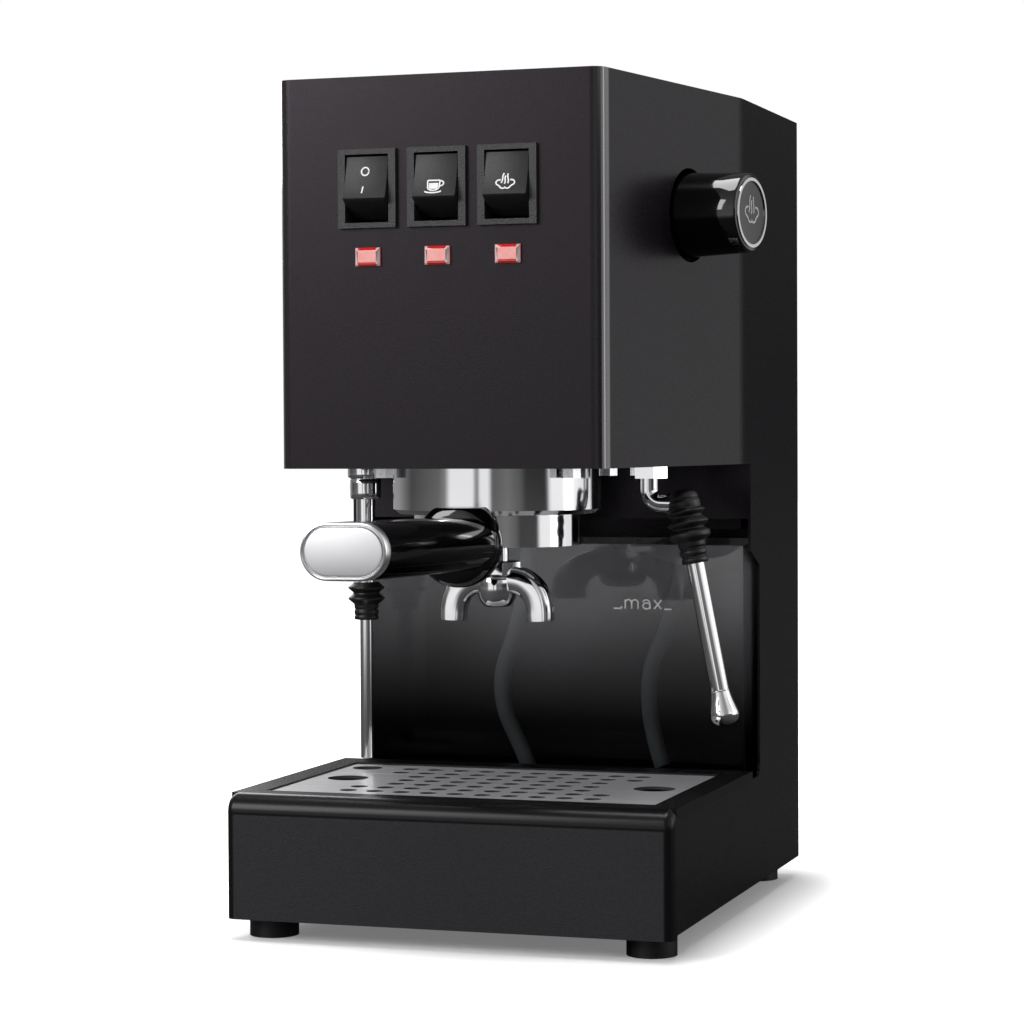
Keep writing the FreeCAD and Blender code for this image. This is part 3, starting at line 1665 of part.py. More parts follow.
def switchFrame(name, x):
    bezel = box(
        f"{name}_bezel", f"{x} - bezel_width/2", f"{x} + bezel_width/2",
        f"{skinFront} - bezel_proud", skinFront,
        "switch_z - bezel_height/2", "switch_z + bezel_height/2",
    )
    case = box(
        f"{name}_case", f"{x} - switch_case_width/2", f"{x} + switch_case_width/2", skinFront,
        f"{skinFront} + switch_case_depth", "switch_z - switch_case_height/2",
        "switch_z + switch_case_height/2",
    )
    floor = "(switch_case_width - rocker_well)/2"
    well = box(
        f"{name}_well", f"{x} - rocker_well/2", f"{x} + rocker_well/2", f"{skinFront} - bezel_proud - 1",
        f"{skinFront} + switch_case_depth - {floor}", "switch_z - rocker_well_height/2",
        "switch_z + rocker_well_height/2",
    )
    reach = "(rocker_width/2 + pivot_stub + slide_gap)"
    pivot = crossRod(
        f"{name}_pivot", vector(1, 0, 0), "pivot_radius + running_gap", f"2*{reach}", f"{x} - {reach}",
        "-rocker_pivot", "switch_z",
    )
    return cut(f"{name}_frame", fuse(f"{name}_frame_blank", [bezel, case]), [well, pivot])


def rocker(name, x):
    lean = "rocker_tilt * 1 deg"
    corners = []
    spots = [
        ("(-rocker_hollow)", "0"),
        ("(-0.9*rocker_hollow - 0.1*rocker_ridge)", "(rocker_half/2)"),
        ("(-rocker_ridge)", "rocker_half"),
        ("(-rocker_end_reach)", "rocker_end"),
        ("rocker_hub", "rocker_hub"),
        ("rocker_hub", "(-rocker_hub)"),
        ("(-rocker_end_reach)", "(-rocker_end)"),
        ("(-rocker_ridge)", "(-rocker_half)"),
        ("(-0.9*rocker_hollow - 0.1*rocker_ridge)", "(-rocker_half/2)"),
    ]
    for y, z in spots:
        corners.append((f"{y}*cos({lean}) + {z}*sin({lean})", f"-{y}*sin({lean}) + {z}*cos({lean})"))
    key = prism(f"{name}_key", "YZ_Plane", corners, "-rocker_width/2", "rocker_width")
    place(key, x, "-rocker_pivot", "switch_z")
    reach = "(rocker_width/2 + pivot_stub)"
    pin = crossRod(
        f"{name}_pin", vector(1, 0, 0), "pivot_radius", f"2*{reach}",
        f"{x} - {reach}", "-rocker_pivot", "switch_z"
    )
    piece(f"rocker_{name}", fuse(f"rocker_{name}", [key, pin]))


def switches():
    frames = []
    lamps = []
    for name, x in switchPlaces.items():
        frames.append(switchFrame(name, x))
        rocker(name, x)
        lens = box(
            f"{name}_lens", f"{x} - lamp_width/2", f"{x} + lamp_width/2",
            f"{skinFront} - lamp_proud", skinFront,
            "lamp_z - lamp_height/2", "lamp_z + lamp_height/2",
        )
        stem = box(
            f"{name}_lamp_stem", f"{x} - lamp_stem_width/2", f"{x} + lamp_stem_width/2", skinFront,
            f"{skinFront} + lamp_stem_depth", "lamp_z - lamp_stem_height/2", "lamp_z + lamp_stem_height/2",
        )
        lamps.append(fuse(f"{name}_lamp", [lens, stem]))
    piece("switch_frames", group("switch_frames", frames))
    piece("indicator_lamps", group("indicator_lamps", lamps))


# Mains inlet in the rear panel


def powerInlet():
    def shell(name, margin, y0, y1):
        return box(
            name, f"mains_x - mains_width/2 + ({margin})", f"mains_x + mains_width/2 - ({margin})", y0, y1,
            f"mains_z - mains_height/2 + ({margin})", f"mains_z + mains_height/2 - ({margin})",
        )

    flange = shell("mains_flange", "-mains_flange", rear, f"{rear} + sheet_gauge")
    case = shell("mains_case", "0", f"{rear} - mains_depth", rear)
    room = shell(
        "mains_room", "mains_wall", f"{rear} - mains_depth + mains_wall", f"{rear} + 2*sheet_gauge",
    )
    socket = cut("mains_socket", fuse("mains_blank", [flange, case]), [room])
    floor = f"({rear} - mains_depth + mains_wall)"
    pins = []
    for offset, lift in (("-tab_height", "0"), ("0", "tab_gauge*2"), ("tab_height", "0")):
        pins.append(
            box(
                "mains_pin", f"mains_x + {offset} - tab_gauge",
                f"mains_x + {offset} + tab_gauge", f"{floor} - 1",
                f"{floor} + 2*tab_height", f"mains_z + {lift} - tab_width/3",
                f"mains_z + {lift} + tab_width/3",
            )
        )
    piece("power_inlet", fuse("power_inlet", [socket] + pins))


bodyShell()
rearPanel()
headFloor()
innerBulkhead()
basePan()
feet()
caseScrews()
topCover()
fillerLid()
fillerFunnel()
dripTray()
dripGrate()
waterTank()
hoses()
hoseGrommets()
groupHead()
groupParts()
portafilterBody()
filterBasket()
portafilterHandle()
doubleSpout()
boiler()
heatingElements()
thermostats()
solenoid()
discharge()
pump()
pumpTubes()
steamValve()
steamKnob()
wandNut()
steamWand()
switches()
powerInlet()

doc.recompute()
faults = [item.Label for item in doc.Objects if {"Invalid", "Error"} & set(item.State)]
faults += [node for node, item in pieces.items() if item.Shape.isNull() or not item.Shape.isValid()]
if faults:
    raise SystemExit(f"not built: {faults}")

os.makedirs("parts", exist_ok=True)
for node, item in pieces.items():
    item.Shape.exportStep(f"parts/{node}.step")
print(len(pieces), "pieces written")
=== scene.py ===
import bmesh
import bpy
import math
import numpy as np
from mathutils import Matrix, Vector


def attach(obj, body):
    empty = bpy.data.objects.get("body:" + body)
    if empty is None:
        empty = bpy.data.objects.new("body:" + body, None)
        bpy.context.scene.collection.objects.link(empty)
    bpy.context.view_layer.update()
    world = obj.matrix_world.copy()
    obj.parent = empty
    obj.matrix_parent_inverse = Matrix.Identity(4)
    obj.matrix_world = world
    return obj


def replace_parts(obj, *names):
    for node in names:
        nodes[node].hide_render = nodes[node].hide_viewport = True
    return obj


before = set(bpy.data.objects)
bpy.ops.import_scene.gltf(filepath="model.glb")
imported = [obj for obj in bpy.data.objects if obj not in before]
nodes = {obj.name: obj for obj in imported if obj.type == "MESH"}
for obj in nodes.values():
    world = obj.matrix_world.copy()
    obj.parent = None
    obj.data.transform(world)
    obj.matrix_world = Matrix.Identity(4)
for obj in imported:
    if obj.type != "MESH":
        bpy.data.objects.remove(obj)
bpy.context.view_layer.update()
scene = bpy.context.scene
scene.view_settings.view_transform = "Standard"
# millimetres in a metre: profiles and drawings below are in millimetres
perMetre = 1000
print("frame loaded:", len(nodes), "nodes")


# Shader maths on sockets

class Wire:
    # one socket; each operator adds a Math node that takes it
    def __init__(self, tree, socket):
        self.tree = tree
        self.socket = socket

    def maths(self, operation, *terms):
        step = self.tree.nodes.new("ShaderNodeMath")
        step.operation = operation
        for spot, term in zip(step.inputs, terms):
            feed(self.tree, spot, term)
        return Wire(self.tree, step.outputs[0])

    def __add__(self, other):
        return self.maths("ADD", self, other)

    def __radd__(self, other):
        return self.maths("ADD", other, self)

    def __sub__(self, other):
        return self.maths("SUBTRACT", self, other)

    def __rsub__(self, other):
        return self.maths("SUBTRACT", other, self)

    def __mul__(self, other):
        return self.maths("MULTIPLY", self, other)

    def __rmul__(self, other):
        return self.maths("MULTIPLY", other, self)

    def __pow__(self, other):
        return self.maths("POWER", self, other)


def feed(tree, spot, value):
    if isinstance(value, Wire):
        tree.links.new(value.socket, spot)
    else:
        spot.default_value = value


class Graph:
    # a node tree; every helper adds nodes and gives back the wire that leaves them
    def __init__(self, tree):
        self.tree = tree

    def node(self, kind, settings, inputs, output=0):
        made = self.tree.nodes.new("ShaderNode" + kind)
        for name, value in settings.items():
            setattr(made, name, value)
        for name, value in inputs.items():
            feed(self.tree, made.inputs[name], value)
        return Wire(self.tree, made.outputs[output])

    def apart(self, space):
        # the three parts of a texture coordinate
        place = self.node("TexCoord", {}, {}, space)
        return [self.node("SeparateXYZ", {}, {0: place}, part) for part in range(3)]

    def noise(self, scale, detail=2.0, stretch=(1, 1, 1)):
        place = self.node("TexCoord", {}, {}, "Object")
        spot = self.node("Mapping", {}, {"Vector": place, "Scale": stretch})
        return self.node("TexNoise", {}, {"Vector": spot, "Scale": scale, "Detail": detail}, "Fac")

    def step(self, value, low, high):
        # 0 below low, 1 above high, smooth between
        ends = {"Value": value, "From Min": low, "From Max": high}
        return self.node("MapRange", {"interpolation_type": "SMOOTHSTEP"}, ends)

    def mix(self, share, first, second):
        return self.node("Mix", {"data_type": "RGBA"}, {0: share, 6: first, 7: second}, 2)

    def wall(self, x, y, stops):
        # grey by the angle round the machine, through stops given in degrees
        turn = x.maths("ARCTAN2", y, x) * (1 / math.tau) + 0.5
        shade = self.node("ValToRGB", {}, {"Fac": turn})
        band = shade.socket.node.color_ramp
        while len(band.elements) < len(stops):
            band.elements.new(0.5)
        for element, (degrees, tone) in zip(band.elements, sorted(stops.items())):
            element.position = (degrees + 180) / 360
            element.color = grey(tone)
        return shade


class Finish(Graph):
    # a material with one Principled shader; fixed numbers go straight onto its sockets
    def __init__(self, name, **fixed):
        self.material = bpy.data.materials.new(name)
        self.material.use_nodes = True
        super().__init__(self.material.node_tree)
        self.shader = self.tree.nodes["Principled BSDF"]
        for socket, value in fixed.items():
            self.shader.inputs[socket.replace("_", " ")].default_value = value

    def bump(self, height, depth):
        raised = {"Height": height, "Distance": depth}
        feed(self.tree, self.shader.inputs["Normal"], self.node("Bump", {}, raised))

    def set(self, **varying):
        for socket, value in varying.items():
            feed(self.tree, self.shader.inputs[socket.replace("_", " ")], value)


def rgb(red, green, blue):
    return (red, green, blue, 1.0)


def grey(tone):
    return rgb(tone, tone, tone)


# Plain finishes: a colour that drifts between two tones, uneven gloss and a fine relief

plainFinishes = {
    "satinPaint": {
        "tones": (rgb(0.0105, 0.0085, 0.0108), rgb(0.0128, 0.0105, 0.0131)),
        "drift": 9, "gloss": (0.24, 0.32), "grain": 1500, "relief": 0.00005,
        "fixed": {
            "Specular_IOR_Level": 0.2, "Specular_Tint": rgb(1.0, 0.9, 1.0),
            "Coat_Roughness": 0.08, "Coat_IOR": 1.8,
        },
        "bend": {"wide": (0.0692, 0.0702), "deep": (-0.1236, -0.1222)},
    },
    "coverPlastic": {
        "tones": (rgb(0.017, 0.0165, 0.0175), rgb(0.022, 0.021, 0.0225)),
        "drift": 14, "gloss": (0.45, 0.6), "grain": 1100, "relief": 0.00012, "fixed": {},
    },
    "blackRubber": {
        "tones": (rgb(0.004, 0.004, 0.0043), rgb(0.0075, 0.0075, 0.008)),
        "drift": 60, "gloss": (0.34, 0.5), "grain": 1600, "relief": 0.00006, "fixed": {},
    },
    "mouldedBlack": {
        "tones": (rgb(0.013, 0.013, 0.014), rgb(0.02, 0.02, 0.021)),
        "drift": 40, "gloss": (0.4, 0.55), "grain": 1300, "relief": 0.0001, "fixed": {},
    },
    "glossBlack": {
        "tones": (rgb(0.0015, 0.0015, 0.0016), rgb(0.0022, 0.0022, 0.0024)),
        "drift": 30, "gloss": (0.04, 0.08), "grain": 500, "relief": 0.000006,
        "fixed": {"Specular_IOR_Level": 0.6},
    },
    "pebbledBlack": {
        "tones": (rgb(0.012, 0.012, 0.0126), rgb(0.046, 0.045, 0.048)),
        "drift": 1800, "gloss": (0.36, 0.6), "grain": 1500, "relief": 0.00035, "fixed": {},
    },
    "switchBlack": {
        "tones": (rgb(0.013, 0.0128, 0.0134), rgb(0.02, 0.0197, 0.0206)),
        "drift": 600, "gloss": (0.34, 0.5), "grain": 1700, "relief": 0.0001,
        "fixed": {"Specular_IOR_Level": 0.3},
    },
    "machinedBrass": {
        "tones": (rgb(0.62, 0.45, 0.19), rgb(0.72, 0.55, 0.27)),
        "drift": 70, "gloss": (0.24, 0.4), "grain": 700, "relief": 0.00003, "fixed": {"Metallic": 1.0},
    },
    "castAluminium": {
        "tones": (rgb(0.5, 0.5, 0.51), rgb(0.62, 0.62, 0.63)),
        "drift": 120, "gloss": (0.42, 0.6), "grain": 600, "relief": 0.0003, "fixed": {"Metallic": 1.0},
    },
    "drawnCopper": {
        "tones": (rgb(0.66, 0.36, 0.23), rgb(0.75, 0.45, 0.3)),
        "drift": 50, "gloss": (0.2, 0.34), "grain": 500, "relief": 0.00003, "fixed": {"Metallic": 1.0},
    },
    "whiteTube": {
        "tones": (rgb(0.74, 0.74, 0.71), rgb(0.82, 0.82, 0.79)),
        "drift": 45, "gloss": (0.3, 0.4), "grain": 500, "relief": 0.00003,
        "fixed": {"Subsurface_Weight": 0.2},
    },
    "zincSteel": {
        "tones": (rgb(0.5, 0.5, 0.52), rgb(0.64, 0.64, 0.66)),
        "drift": 260, "gloss": (0.18, 0.32), "grain": 900, "relief": 0.00003, "fixed": {"Metallic": 1.0},
    },
    # white print with a painted glow: a faint emission lifts the marks out of the shade they sit in
    "whitePrintPaintedGlow": {
        "tones": (rgb(0.68, 0.68, 0.7), rgb(0.8, 0.8, 0.82)),
        "drift": 300, "gloss": (0.4, 0.5), "grain": 1500, "relief": 0.00002,
        "fixed": {"Emission_Color": rgb(1, 1, 1), "Emission_Strength": 0.12},
    },
}


def plainFinish(name, look):
    made = Finish(name, **look["fixed"])
    low, high = look["gloss"]
    fine = made.noise(look["grain"], 3.0)
    drift = made.noise(look["drift"], 4.0)
    made.set(Base_Color=made.mix(drift, *look["tones"]), Roughness=low + (high - low) * fine)
    made.bump(fine, look["relief"])
    if "bend" in look:
        # paint drawn thin and shiny round the two upright front bends
        x, y = made.apart("Object")[:2]
        ahead = 1 - made.step(y, *look["bend"]["deep"])
        made.set(Coat_Weight=ahead * made.step(x.maths("ABSOLUTE", x), *look["bend"]["wide"]))
    return made.material


finishes = {name: plainFinish(name, look) for name, look in plainFinishes.items()}


# Chrome: bright plate, with the faint upright polishing marks of turned work

chromeLook = {
    "tones": (rgb(0.72, 0.72, 0.735), rgb(0.82, 0.82, 0.835)),
    "smudge": 26, "marks": 900, "flatten": (1, 1, 0.04), "unevenness": 0.07, "relief": 0.000004,
    "gloss": {"chromePlate": 0.05, "turnedSteel": 0.07, "capPlate": 0.3},
}


def chromeFinish(name, look):
    made = Finish(name, Metallic=1.0)
    marks = made.noise(look["marks"], 2.0, look["flatten"])
    smudge = made.noise(look["smudge"], 4.0)
    made.set(
        Base_Color=made.mix(smudge, *look["tones"]),
        Roughness=look["gloss"][name] + look["unevenness"] * marks * smudge,
    )
    made.bump(marks, look["relief"])
    return made.material


for name in chromeLook["gloss"]:
    finishes[name] = chromeFinish(name, chromeLook)


# Grate: polished sheet with long rolling marks from side to side, and painted shade in its holes

# cut is a painted shade tone for the walls of the holes, below the top level
grateLook = {
    "tones": (rgb(0.79, 0.78, 0.81), rgb(0.88, 0.87, 0.9)), "metal": 0.4, "cut": rgb(0.1, 0.1, 0.104),
    "marks": 700, "stretch": (0.03, 1, 1), "gloss": 0.16, "unevenness": 0.16, "relief": 0.000006,
    "top": 0.06395, "edge": 0.00015,
}


def grateFinish(look):
    # bright on top, with painted shade: the walls of its holes are coloured dark
    made = Finish("polishedSheet", Metallic=look["metal"])
    marks = made.noise(look["marks"], 3.0, look["stretch"])
    top = made.step(made.apart("Object")[2], look["top"] - look["edge"], look["top"])
    made.set(
        Base_Color=made.mix(top, look["cut"], made.mix(marks, *look["tones"])),
        Roughness=look["gloss"] + look["unevenness"] * marks,
    )
    made.bump(marks, look["relief"])
    return made.material


finishes["polishedSheet"] = grateFinish(grateLook)


# Tray: the front panel is coarse and dull, the rim round it smooth and bright

trayLook = {
    "panelTop": 0.0555, "panelFront": -0.1272, "panelSide": 0.0985, "soft": 0.0006,
    "panel": (rgb(0.014, 0.0138, 0.0155), rgb(0.037, 0.0364, 0.041)), "rim": rgb(0.005, 0.0049, 0.0054),
    "gloss": 0.24, "dulling": 0.34, "unevenness": 0.05, "grain": 1700, "relief": 0.00016,
}


def trayFinish(look):
    made = Finish("trayMoulding", Specular_IOR_Level=0.2)
    x, y, z = made.apart("Object")
    soft = look["soft"]
    low = 1 - made.step(z, look["panelTop"] - soft, look["panelTop"] + soft)
    ahead = 1 - made.step(y, look["panelFront"] - soft, look["panelFront"] + soft)
    side = x.maths("ABSOLUTE", x)
    within = 1 - made.step(side, look["panelSide"] - soft, look["panelSide"] + soft)
    panel = low * ahead * within
    grain = made.noise(look["grain"], 4.0)
    made.set(
        Base_Color=made.mix(panel, look["rim"], made.mix(grain, *look["panel"])),
        Roughness=look["gloss"] + panel * look["dulling"] + look["unevenness"] * grain,
    )
    made.bump(grain * panel, look["relief"])
    return made.material


finishes["trayMoulding"] = trayFinish(trayLook)


# Tank: smoked clear moulding, and the pale hoses inside it

# dark and pale are painted shade and painted light, blended by rise and by swing to the right
tankLook = {
    "dark": rgb(0.0006, 0.0006, 0.0007), "pale": rgb(0.38, 0.38, 0.403), "rise": (0.075, 0.2),
    "leftLight": 0.5, "rightLight": 0.7, "swing": (-0.12, 0.1), "clear": 0.44, "drift": 7,
    "gloss": 0.07, "unevenness": 0.05, "glaze": (0.04, 0.96),
}
siliconeLook = {
    "tones": (rgb(0.72, 0.73, 0.76), rgb(0.82, 0.83, 0.86)), "drift": 70, "gloss": 0.28, "unevenness": 0.14,
    "relief": 0.00005,
}


def tankFinish(look):
    # painted shade and painted light: black towards the floor of the tank, and paler above and to the right,
    # where light gets in
    made = Finish("smokedClear", Specular_IOR_Level=0.02, Coat_IOR=1.8, Coat_Roughness=0.02)
    x, _, z = made.apart("Object")
    drift = made.noise(look["drift"])
    sideways = look["leftLight"] + look["rightLight"] * made.step(x, *look["swing"])
    # height is the share of painted light: rising from the tank's floor, stronger to the right
    height = made.step(z, *look["rise"]) * sideways
    least, more = look["glaze"]
    made.set(
        Base_Color=made.mix(height, look["dark"], look["pale"]),
        Roughness=look["gloss"] + look["unevenness"] * drift,
        Coat_Weight=least + more * height,
        Alpha=1 - look["clear"] - look["unevenness"] * drift,
    )
    return made.material


def siliconeFinish(look):
    made = Finish("milkySilicone", Subsurface_Weight=0.3)
    drift = made.noise(look["drift"], 3.0)
    made.set(
        Base_Color=made.mix(drift, *look["tones"]),
        Roughness=look["gloss"] + look["unevenness"] * drift,
    )
    made.bump(drift, look["relief"])
    return made.material


finishes["smokedClear"] = tankFinish(tankLook)
finishes["milkySilicone"] = siliconeFinish(siliconeLook)


# Lamps: a clear red lens, paler over its raised face

lampLook = {
    "edge": rgb(0.62, 0.018, 0.02), "faces": (rgb(0.9, 0.26, 0.24), rgb(0.92, 0.5, 0.47)),
    "facet": rgb(0.66, 0.56, 0.56), "front": -0.1319, "ramp": 0.0003, "bevel": (-0.1312, -0.1308),
    "pitch": 0.0318, "turn": (0.0041, 0.0044), "cells": 420, "relief": 0.00008,
}


def lampFinish(look):
    # across is the distance from the middle of the nearest lens, since the three stand at one pitch
    made = Finish("redLens", Coat_Weight=0.6, Roughness=0.12, Emission_Strength=0.12)
    x, y = made.apart("Object")[:2]
    raised = 1 - made.step(y, look["front"] - look["ramp"], look["front"])
    cells = made.noise(look["cells"])
    across = x - look["pitch"] * x.maths("ROUND", x * (1 / look["pitch"]))
    sideways = made.step(across.maths("ABSOLUTE", across), *look["turn"])
    tone = made.mix(raised, look["edge"], made.mix(cells, *look["faces"]))
    proud = 1 - made.step(y, *look["bevel"])
    tone = made.mix(sideways * proud, tone, look["facet"])
    made.set(Base_Color=tone, Emission_Color=tone)
    made.bump(cells, look["relief"])
    return made.material


finishes["redLens"] = lampFinish(lampLook)
print("finishes made:", len(finishes))


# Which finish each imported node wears

wearing = {
    "satinPaint": ["body_shell", "rear_panel", "head_floor", "inner_bulkhead", "base_pan", "pump_bracket"],
    "coverPlastic": ["top_cover", "filler_lid", "filler_funnel"],
    "trayMoulding": ["drip_tray"],
    "polishedSheet": ["drip_grate"],
    "smokedClear": ["water_tank"],
    "milkySilicone": ["suction_hose", "return_hose"],
    "blackRubber": [
        "feet", "group_gasket", "boiler_seal", "discharge_bellows", "wand_grip", "hose_grommets",
        "pump_mounts",
    ],
    "chromePlate": [
        "double_spout", "discharge_nut", "discharge_pipe_upper", "discharge_pipe_lower", "wand_nut",
        "steam_wand", "wand_tip", "knob_ring", "handle_end_cap",
    ],
    "turnedSteel": ["group_head", "portafilter_body"],
    "zincSteel": [
        "group_bolts", "case_screws", "shower_screw", "filter_basket", "shower_screen", "basket_spring",
    ],
    "machinedBrass": [
        "dispersion_plate", "solenoid_valve", "overpressure_valve", "steam_valve_body", "steam_spindle",
    ],
    "castAluminium": ["boiler_body", "heating_elements"],
    "drawnCopper": ["steam_outlet_pipe"],
    "whiteTube": ["pressure_tube", "return_tube"],
    "mouldedBlack": ["solenoid_coil", "pump_body", "thermostats", "power_inlet", "suction_filter"],
    "pebbledBlack": ["switch_frames"],
    "switchBlack": ["rocker_power", "rocker_brew", "rocker_steam"],
    "glossBlack": ["steam_knob", "portafilter_handle"],
    "redLens": ["indicator_lamps"],
}
for finish, members in wearing.items():
    for member in members:
        nodes[member].data.materials.clear()
        nodes[member].data.materials.append(finishes[finish])
print("nodes dressed:", sum(len(members) for members in wearing.values()))


# Meshes from grids

def faceOutwards(mesh):
    shape = bmesh.new()
    shape.from_mesh(mesh)
    bmesh.ops.recalc_face_normals(shape, faces=shape.faces)
    shape.to_mesh(mesh)
    shape.free()


def gridMesh(name, points, wrapAcross, finish, body, slot, ends=False):
    # points is rows x columns x 3; neighbouring rows and columns are joined by quads
    rows, columns = points.shape[:2]
    across = columns if wrapAcross else columns - 1
    row, column = np.meshgrid(np.arange(rows - 1), np.arange(across), indexing="ij")
    after = (column + 1) % columns
    here, below = row * columns, (row + 1) * columns
    corners = [here + column, here + after, below + after, below + column]
    quads = np.stack(corners, -1).reshape(-1, 4).tolist()
    if ends:
        quads.append(list(range(columns))[::-1])
        quads.append(list(range((rows - 1) * columns, rows * columns)))
    mesh = bpy.data.meshes.new(name)
    mesh.from_pydata(points.reshape(-1, 3).tolist(), [], quads)
    if ends:
        faceOutwards(mesh)
    mesh.update()
    made = bpy.data.objects.new(name, mesh)
    scene.collection.objects.link(made)
    mesh.materials.append(finishes[finish])
    if body:
        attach(made, body)
    return made


def stroke(name, path, width, depth, surface, finish, body, slot):
    # a printed line: at each path point a four-cornered section, half the width to each side of the path;
    # surface carries (across, up, lift) onto the piece that wears the mark
    path = np.array(path, float)
    heading = np.gradient(path, axis=0)
    heading /= np.linalg.norm(heading, axis=1)[:, None]
    side = np.stack([-heading[:, 1], heading[:, 0]], -1) * width / 2
    left, right = path - side, path + side
    sunk = np.zeros(len(path))
    raised = sunk + depth
    corners = [(left, sunk), (left, raised), (right, raised), (right, sunk)]
    points = np.stack([surface(edge[:, 0], edge[:, 1], lift) for edge, lift in corners], 1)
    return gridMesh(name, points, True, finish, body, slot, ends=True)


def eased(profile, rounds=2):
    # corner cutting: each corner gives way to points a quarter and three quarters along its sides
    line = np.array(profile, float)
    for _ in range(rounds):
        first, after = line[:-1], line[1:]
        cut = np.stack([0.75 * first + 0.25 * after, 0.25 * first + 0.75 * after], 1).reshape(-1, 2)
        line = np.vstack([line[:1], cut, line[-1:]])
    return line


def turnedPiece(name, profile, spot, axis, finish, body, slot, count=64, top=math.inf):
    # rings of radius r at height h along an axis: spot + h axis + r (cos t, sin t), cut level at top
    axis = Vector(axis).normalized()
    first = np.array(axis.orthogonal().normalized())
    second = np.cross(np.array(axis), first)
    turn = np.linspace(0, math.tau, count, endpoint=False)
    circle = np.cos(turn)[:, None] * first + np.sin(turn)[:, None] * second
    radius, height = profile[:, 0], profile[:, 1]
    points = np.array(spot) + height[:, None, None] * np.array(axis) + radius[:, None, None] * circle
    points[..., 2] = np.minimum(points[..., 2], top)
    made = gridMesh(name, points, True, finish, body, slot, ends=True)
    made.data.shade_smooth()
    return made


def stackedPiece(name, outline, layers, surface, finish, body, slot):
    # one closed outline repeated at each layer: (inset, depth) moves it inwards and outwards
    around = np.roll(outline, -1, 0) - np.roll(outline, 1, 0)
    around /= np.linalg.norm(around, axis=1)[:, None]
    inward = np.stack([-around[:, 1], around[:, 0]], -1)
    rings = [outline + inset * inward for inset, _ in layers]
    depths = [np.full(len(outline), depth) for _, depth in layers]
    points = np.stack([surface(ring[:, 0], ring[:, 1], depth) for ring, depth in zip(rings, depths)])
    return gridMesh(name, points, True, finish, body, slot, ends=True)


def stadiumOutline(width, height, count=20):
    # two half circles joined by straight runs, turning to the left
    side = (width - height) / 2
    turn = np.linspace(-math.pi / 2, math.pi / 2, count)
    right = np.stack([side + height / 2 * np.cos(turn), height / 2 * np.sin(turn)], -1)
    return np.vstack([right, -right])


def smoothEdges(made, angle=35):
    # faces that meet at less than the angle share their shading
    made.data.shade_smooth()
    made.data.set_sharp_from_angle(angle=math.radians(angle))


def join(name, parts):
    # several meshes become one piece
    chosen = {"active_object": parts[0], "selected_editable_objects": parts, "selected_objects": parts}
    with bpy.context.temp_override(**chosen):
        bpy.ops.object.join()
    parts[0].name = name
    return parts[0]


# Hoses in the tank: the same routes as the solids, as smooth lines

hoseLook = {
    "radius": 0.004, "roundness": 6, "order": 3, "smoothness": 16,
    "suction": {
        "route": [
            (-26, 78, 206), (-26, 78, 170), (-28, 70, 132), (-41, 64, 95), (-21, 62, 58), (-12, 62, 30),
        ],
        "length": 0.1835, "farEnd": "fitting", "with": ["suction_filter"],
    },
    "return": {
        "route": [(54, 78, 206), (54, 78, 172), (52, 71, 138), (33, 66, 96), (46, 64, 60)],
        "length": 0.1513, "farEnd": "bare", "with": [],
    },
}


def hose(name, look):
    line = bpy.data.curves.new(name, "CURVE")
    line.dimensions = "3D"
    line.bevel_depth = hoseLook["radius"]
    line.bevel_resolution = hoseLook["roundness"]
    line.use_fill_caps = True
    spline = line.splines.new("NURBS")
    spline.points.add(len(look["route"]) - 1)
    route = np.array(look["route"]) / perMetre
    spline.points.foreach_set("co", np.column_stack([route, np.ones(len(route))]).ravel())
    spline.order_u = hoseLook["order"]
    spline.use_endpoint_u = True
    spline.resolution_u = hoseLook["smoothness"]
    made = bpy.data.objects.new(name, line)
    scene.collection.objects.link(made)
    line.materials.append(finishes["milkySilicone"])
    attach(made, "machine")
    return made, route


for which in ("suction", "return"):
    look = hoseLook[which]
    line, route = hose(which + "_hose_line", look)
    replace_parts(line, which + "_hose")
print("hoses hung")


# Rocker keys, and the printed marks on them, on the tank and on the knob

rockerLook = {
    "pivotY": -0.116, "pivotZ": 0.3296, "tilt": 15,
    "places": {"power": -0.0318, "brew": 0.0, "steam": 0.0318},
    "along": (0, 0.0048, 0.0096), "reach": (0.0172, 0.01728, 0.018), "line": 0.00062, "depth": 0.00014,
}


def rockerFace(which):
    lean = math.radians(rockerLook["tilt"])
    up = np.array((0, math.sin(lean), math.cos(lean)))
    out = np.array((0, -math.cos(lean), math.sin(lean)))
    spot = np.array((rockerLook["places"][which], rockerLook["pivotY"], rockerLook["pivotZ"]))

    def surface(x, s, lift):
        # the key's face is hollow: its reach from the pivot grows towards both ends
        reach = np.interp(np.abs(s), rockerLook["along"], rockerLook["reach"]) + lift
        return spot + x[:, None] * np.array((1, 0, 0)) + s[:, None] * up + reach[:, None] * out

    return surface


keyLook = {
    "outline": [
        (0, 17.2), (-4.8, 17.3), (-8.4, 17.75), (-9.35, 17.95), (-9.8, 17.6), (-10.2, 16.6), (-13.6, 5.0),
        (-14.1, 3.5), (-12.6, 2.6), (-3.2, -1.5), (3.2, -1.5), (12.6, 2.6), (14.1, 3.5), (13.6, 5.0),
        (10.2, 16.6), (9.8, 17.6), (9.35, 17.95), (8.4, 17.75), (4.8, 17.3),
    ],
    "layers": [(0.0005, -9.7), (0.0001, -9.6), (0.0, -9.3), (0.0, 9.3), (0.0001, 9.6), (0.0005, 9.7)],
    "pin": [(1.5, -10.6), (1.5, 10.6)], "pinSides": 24,
}


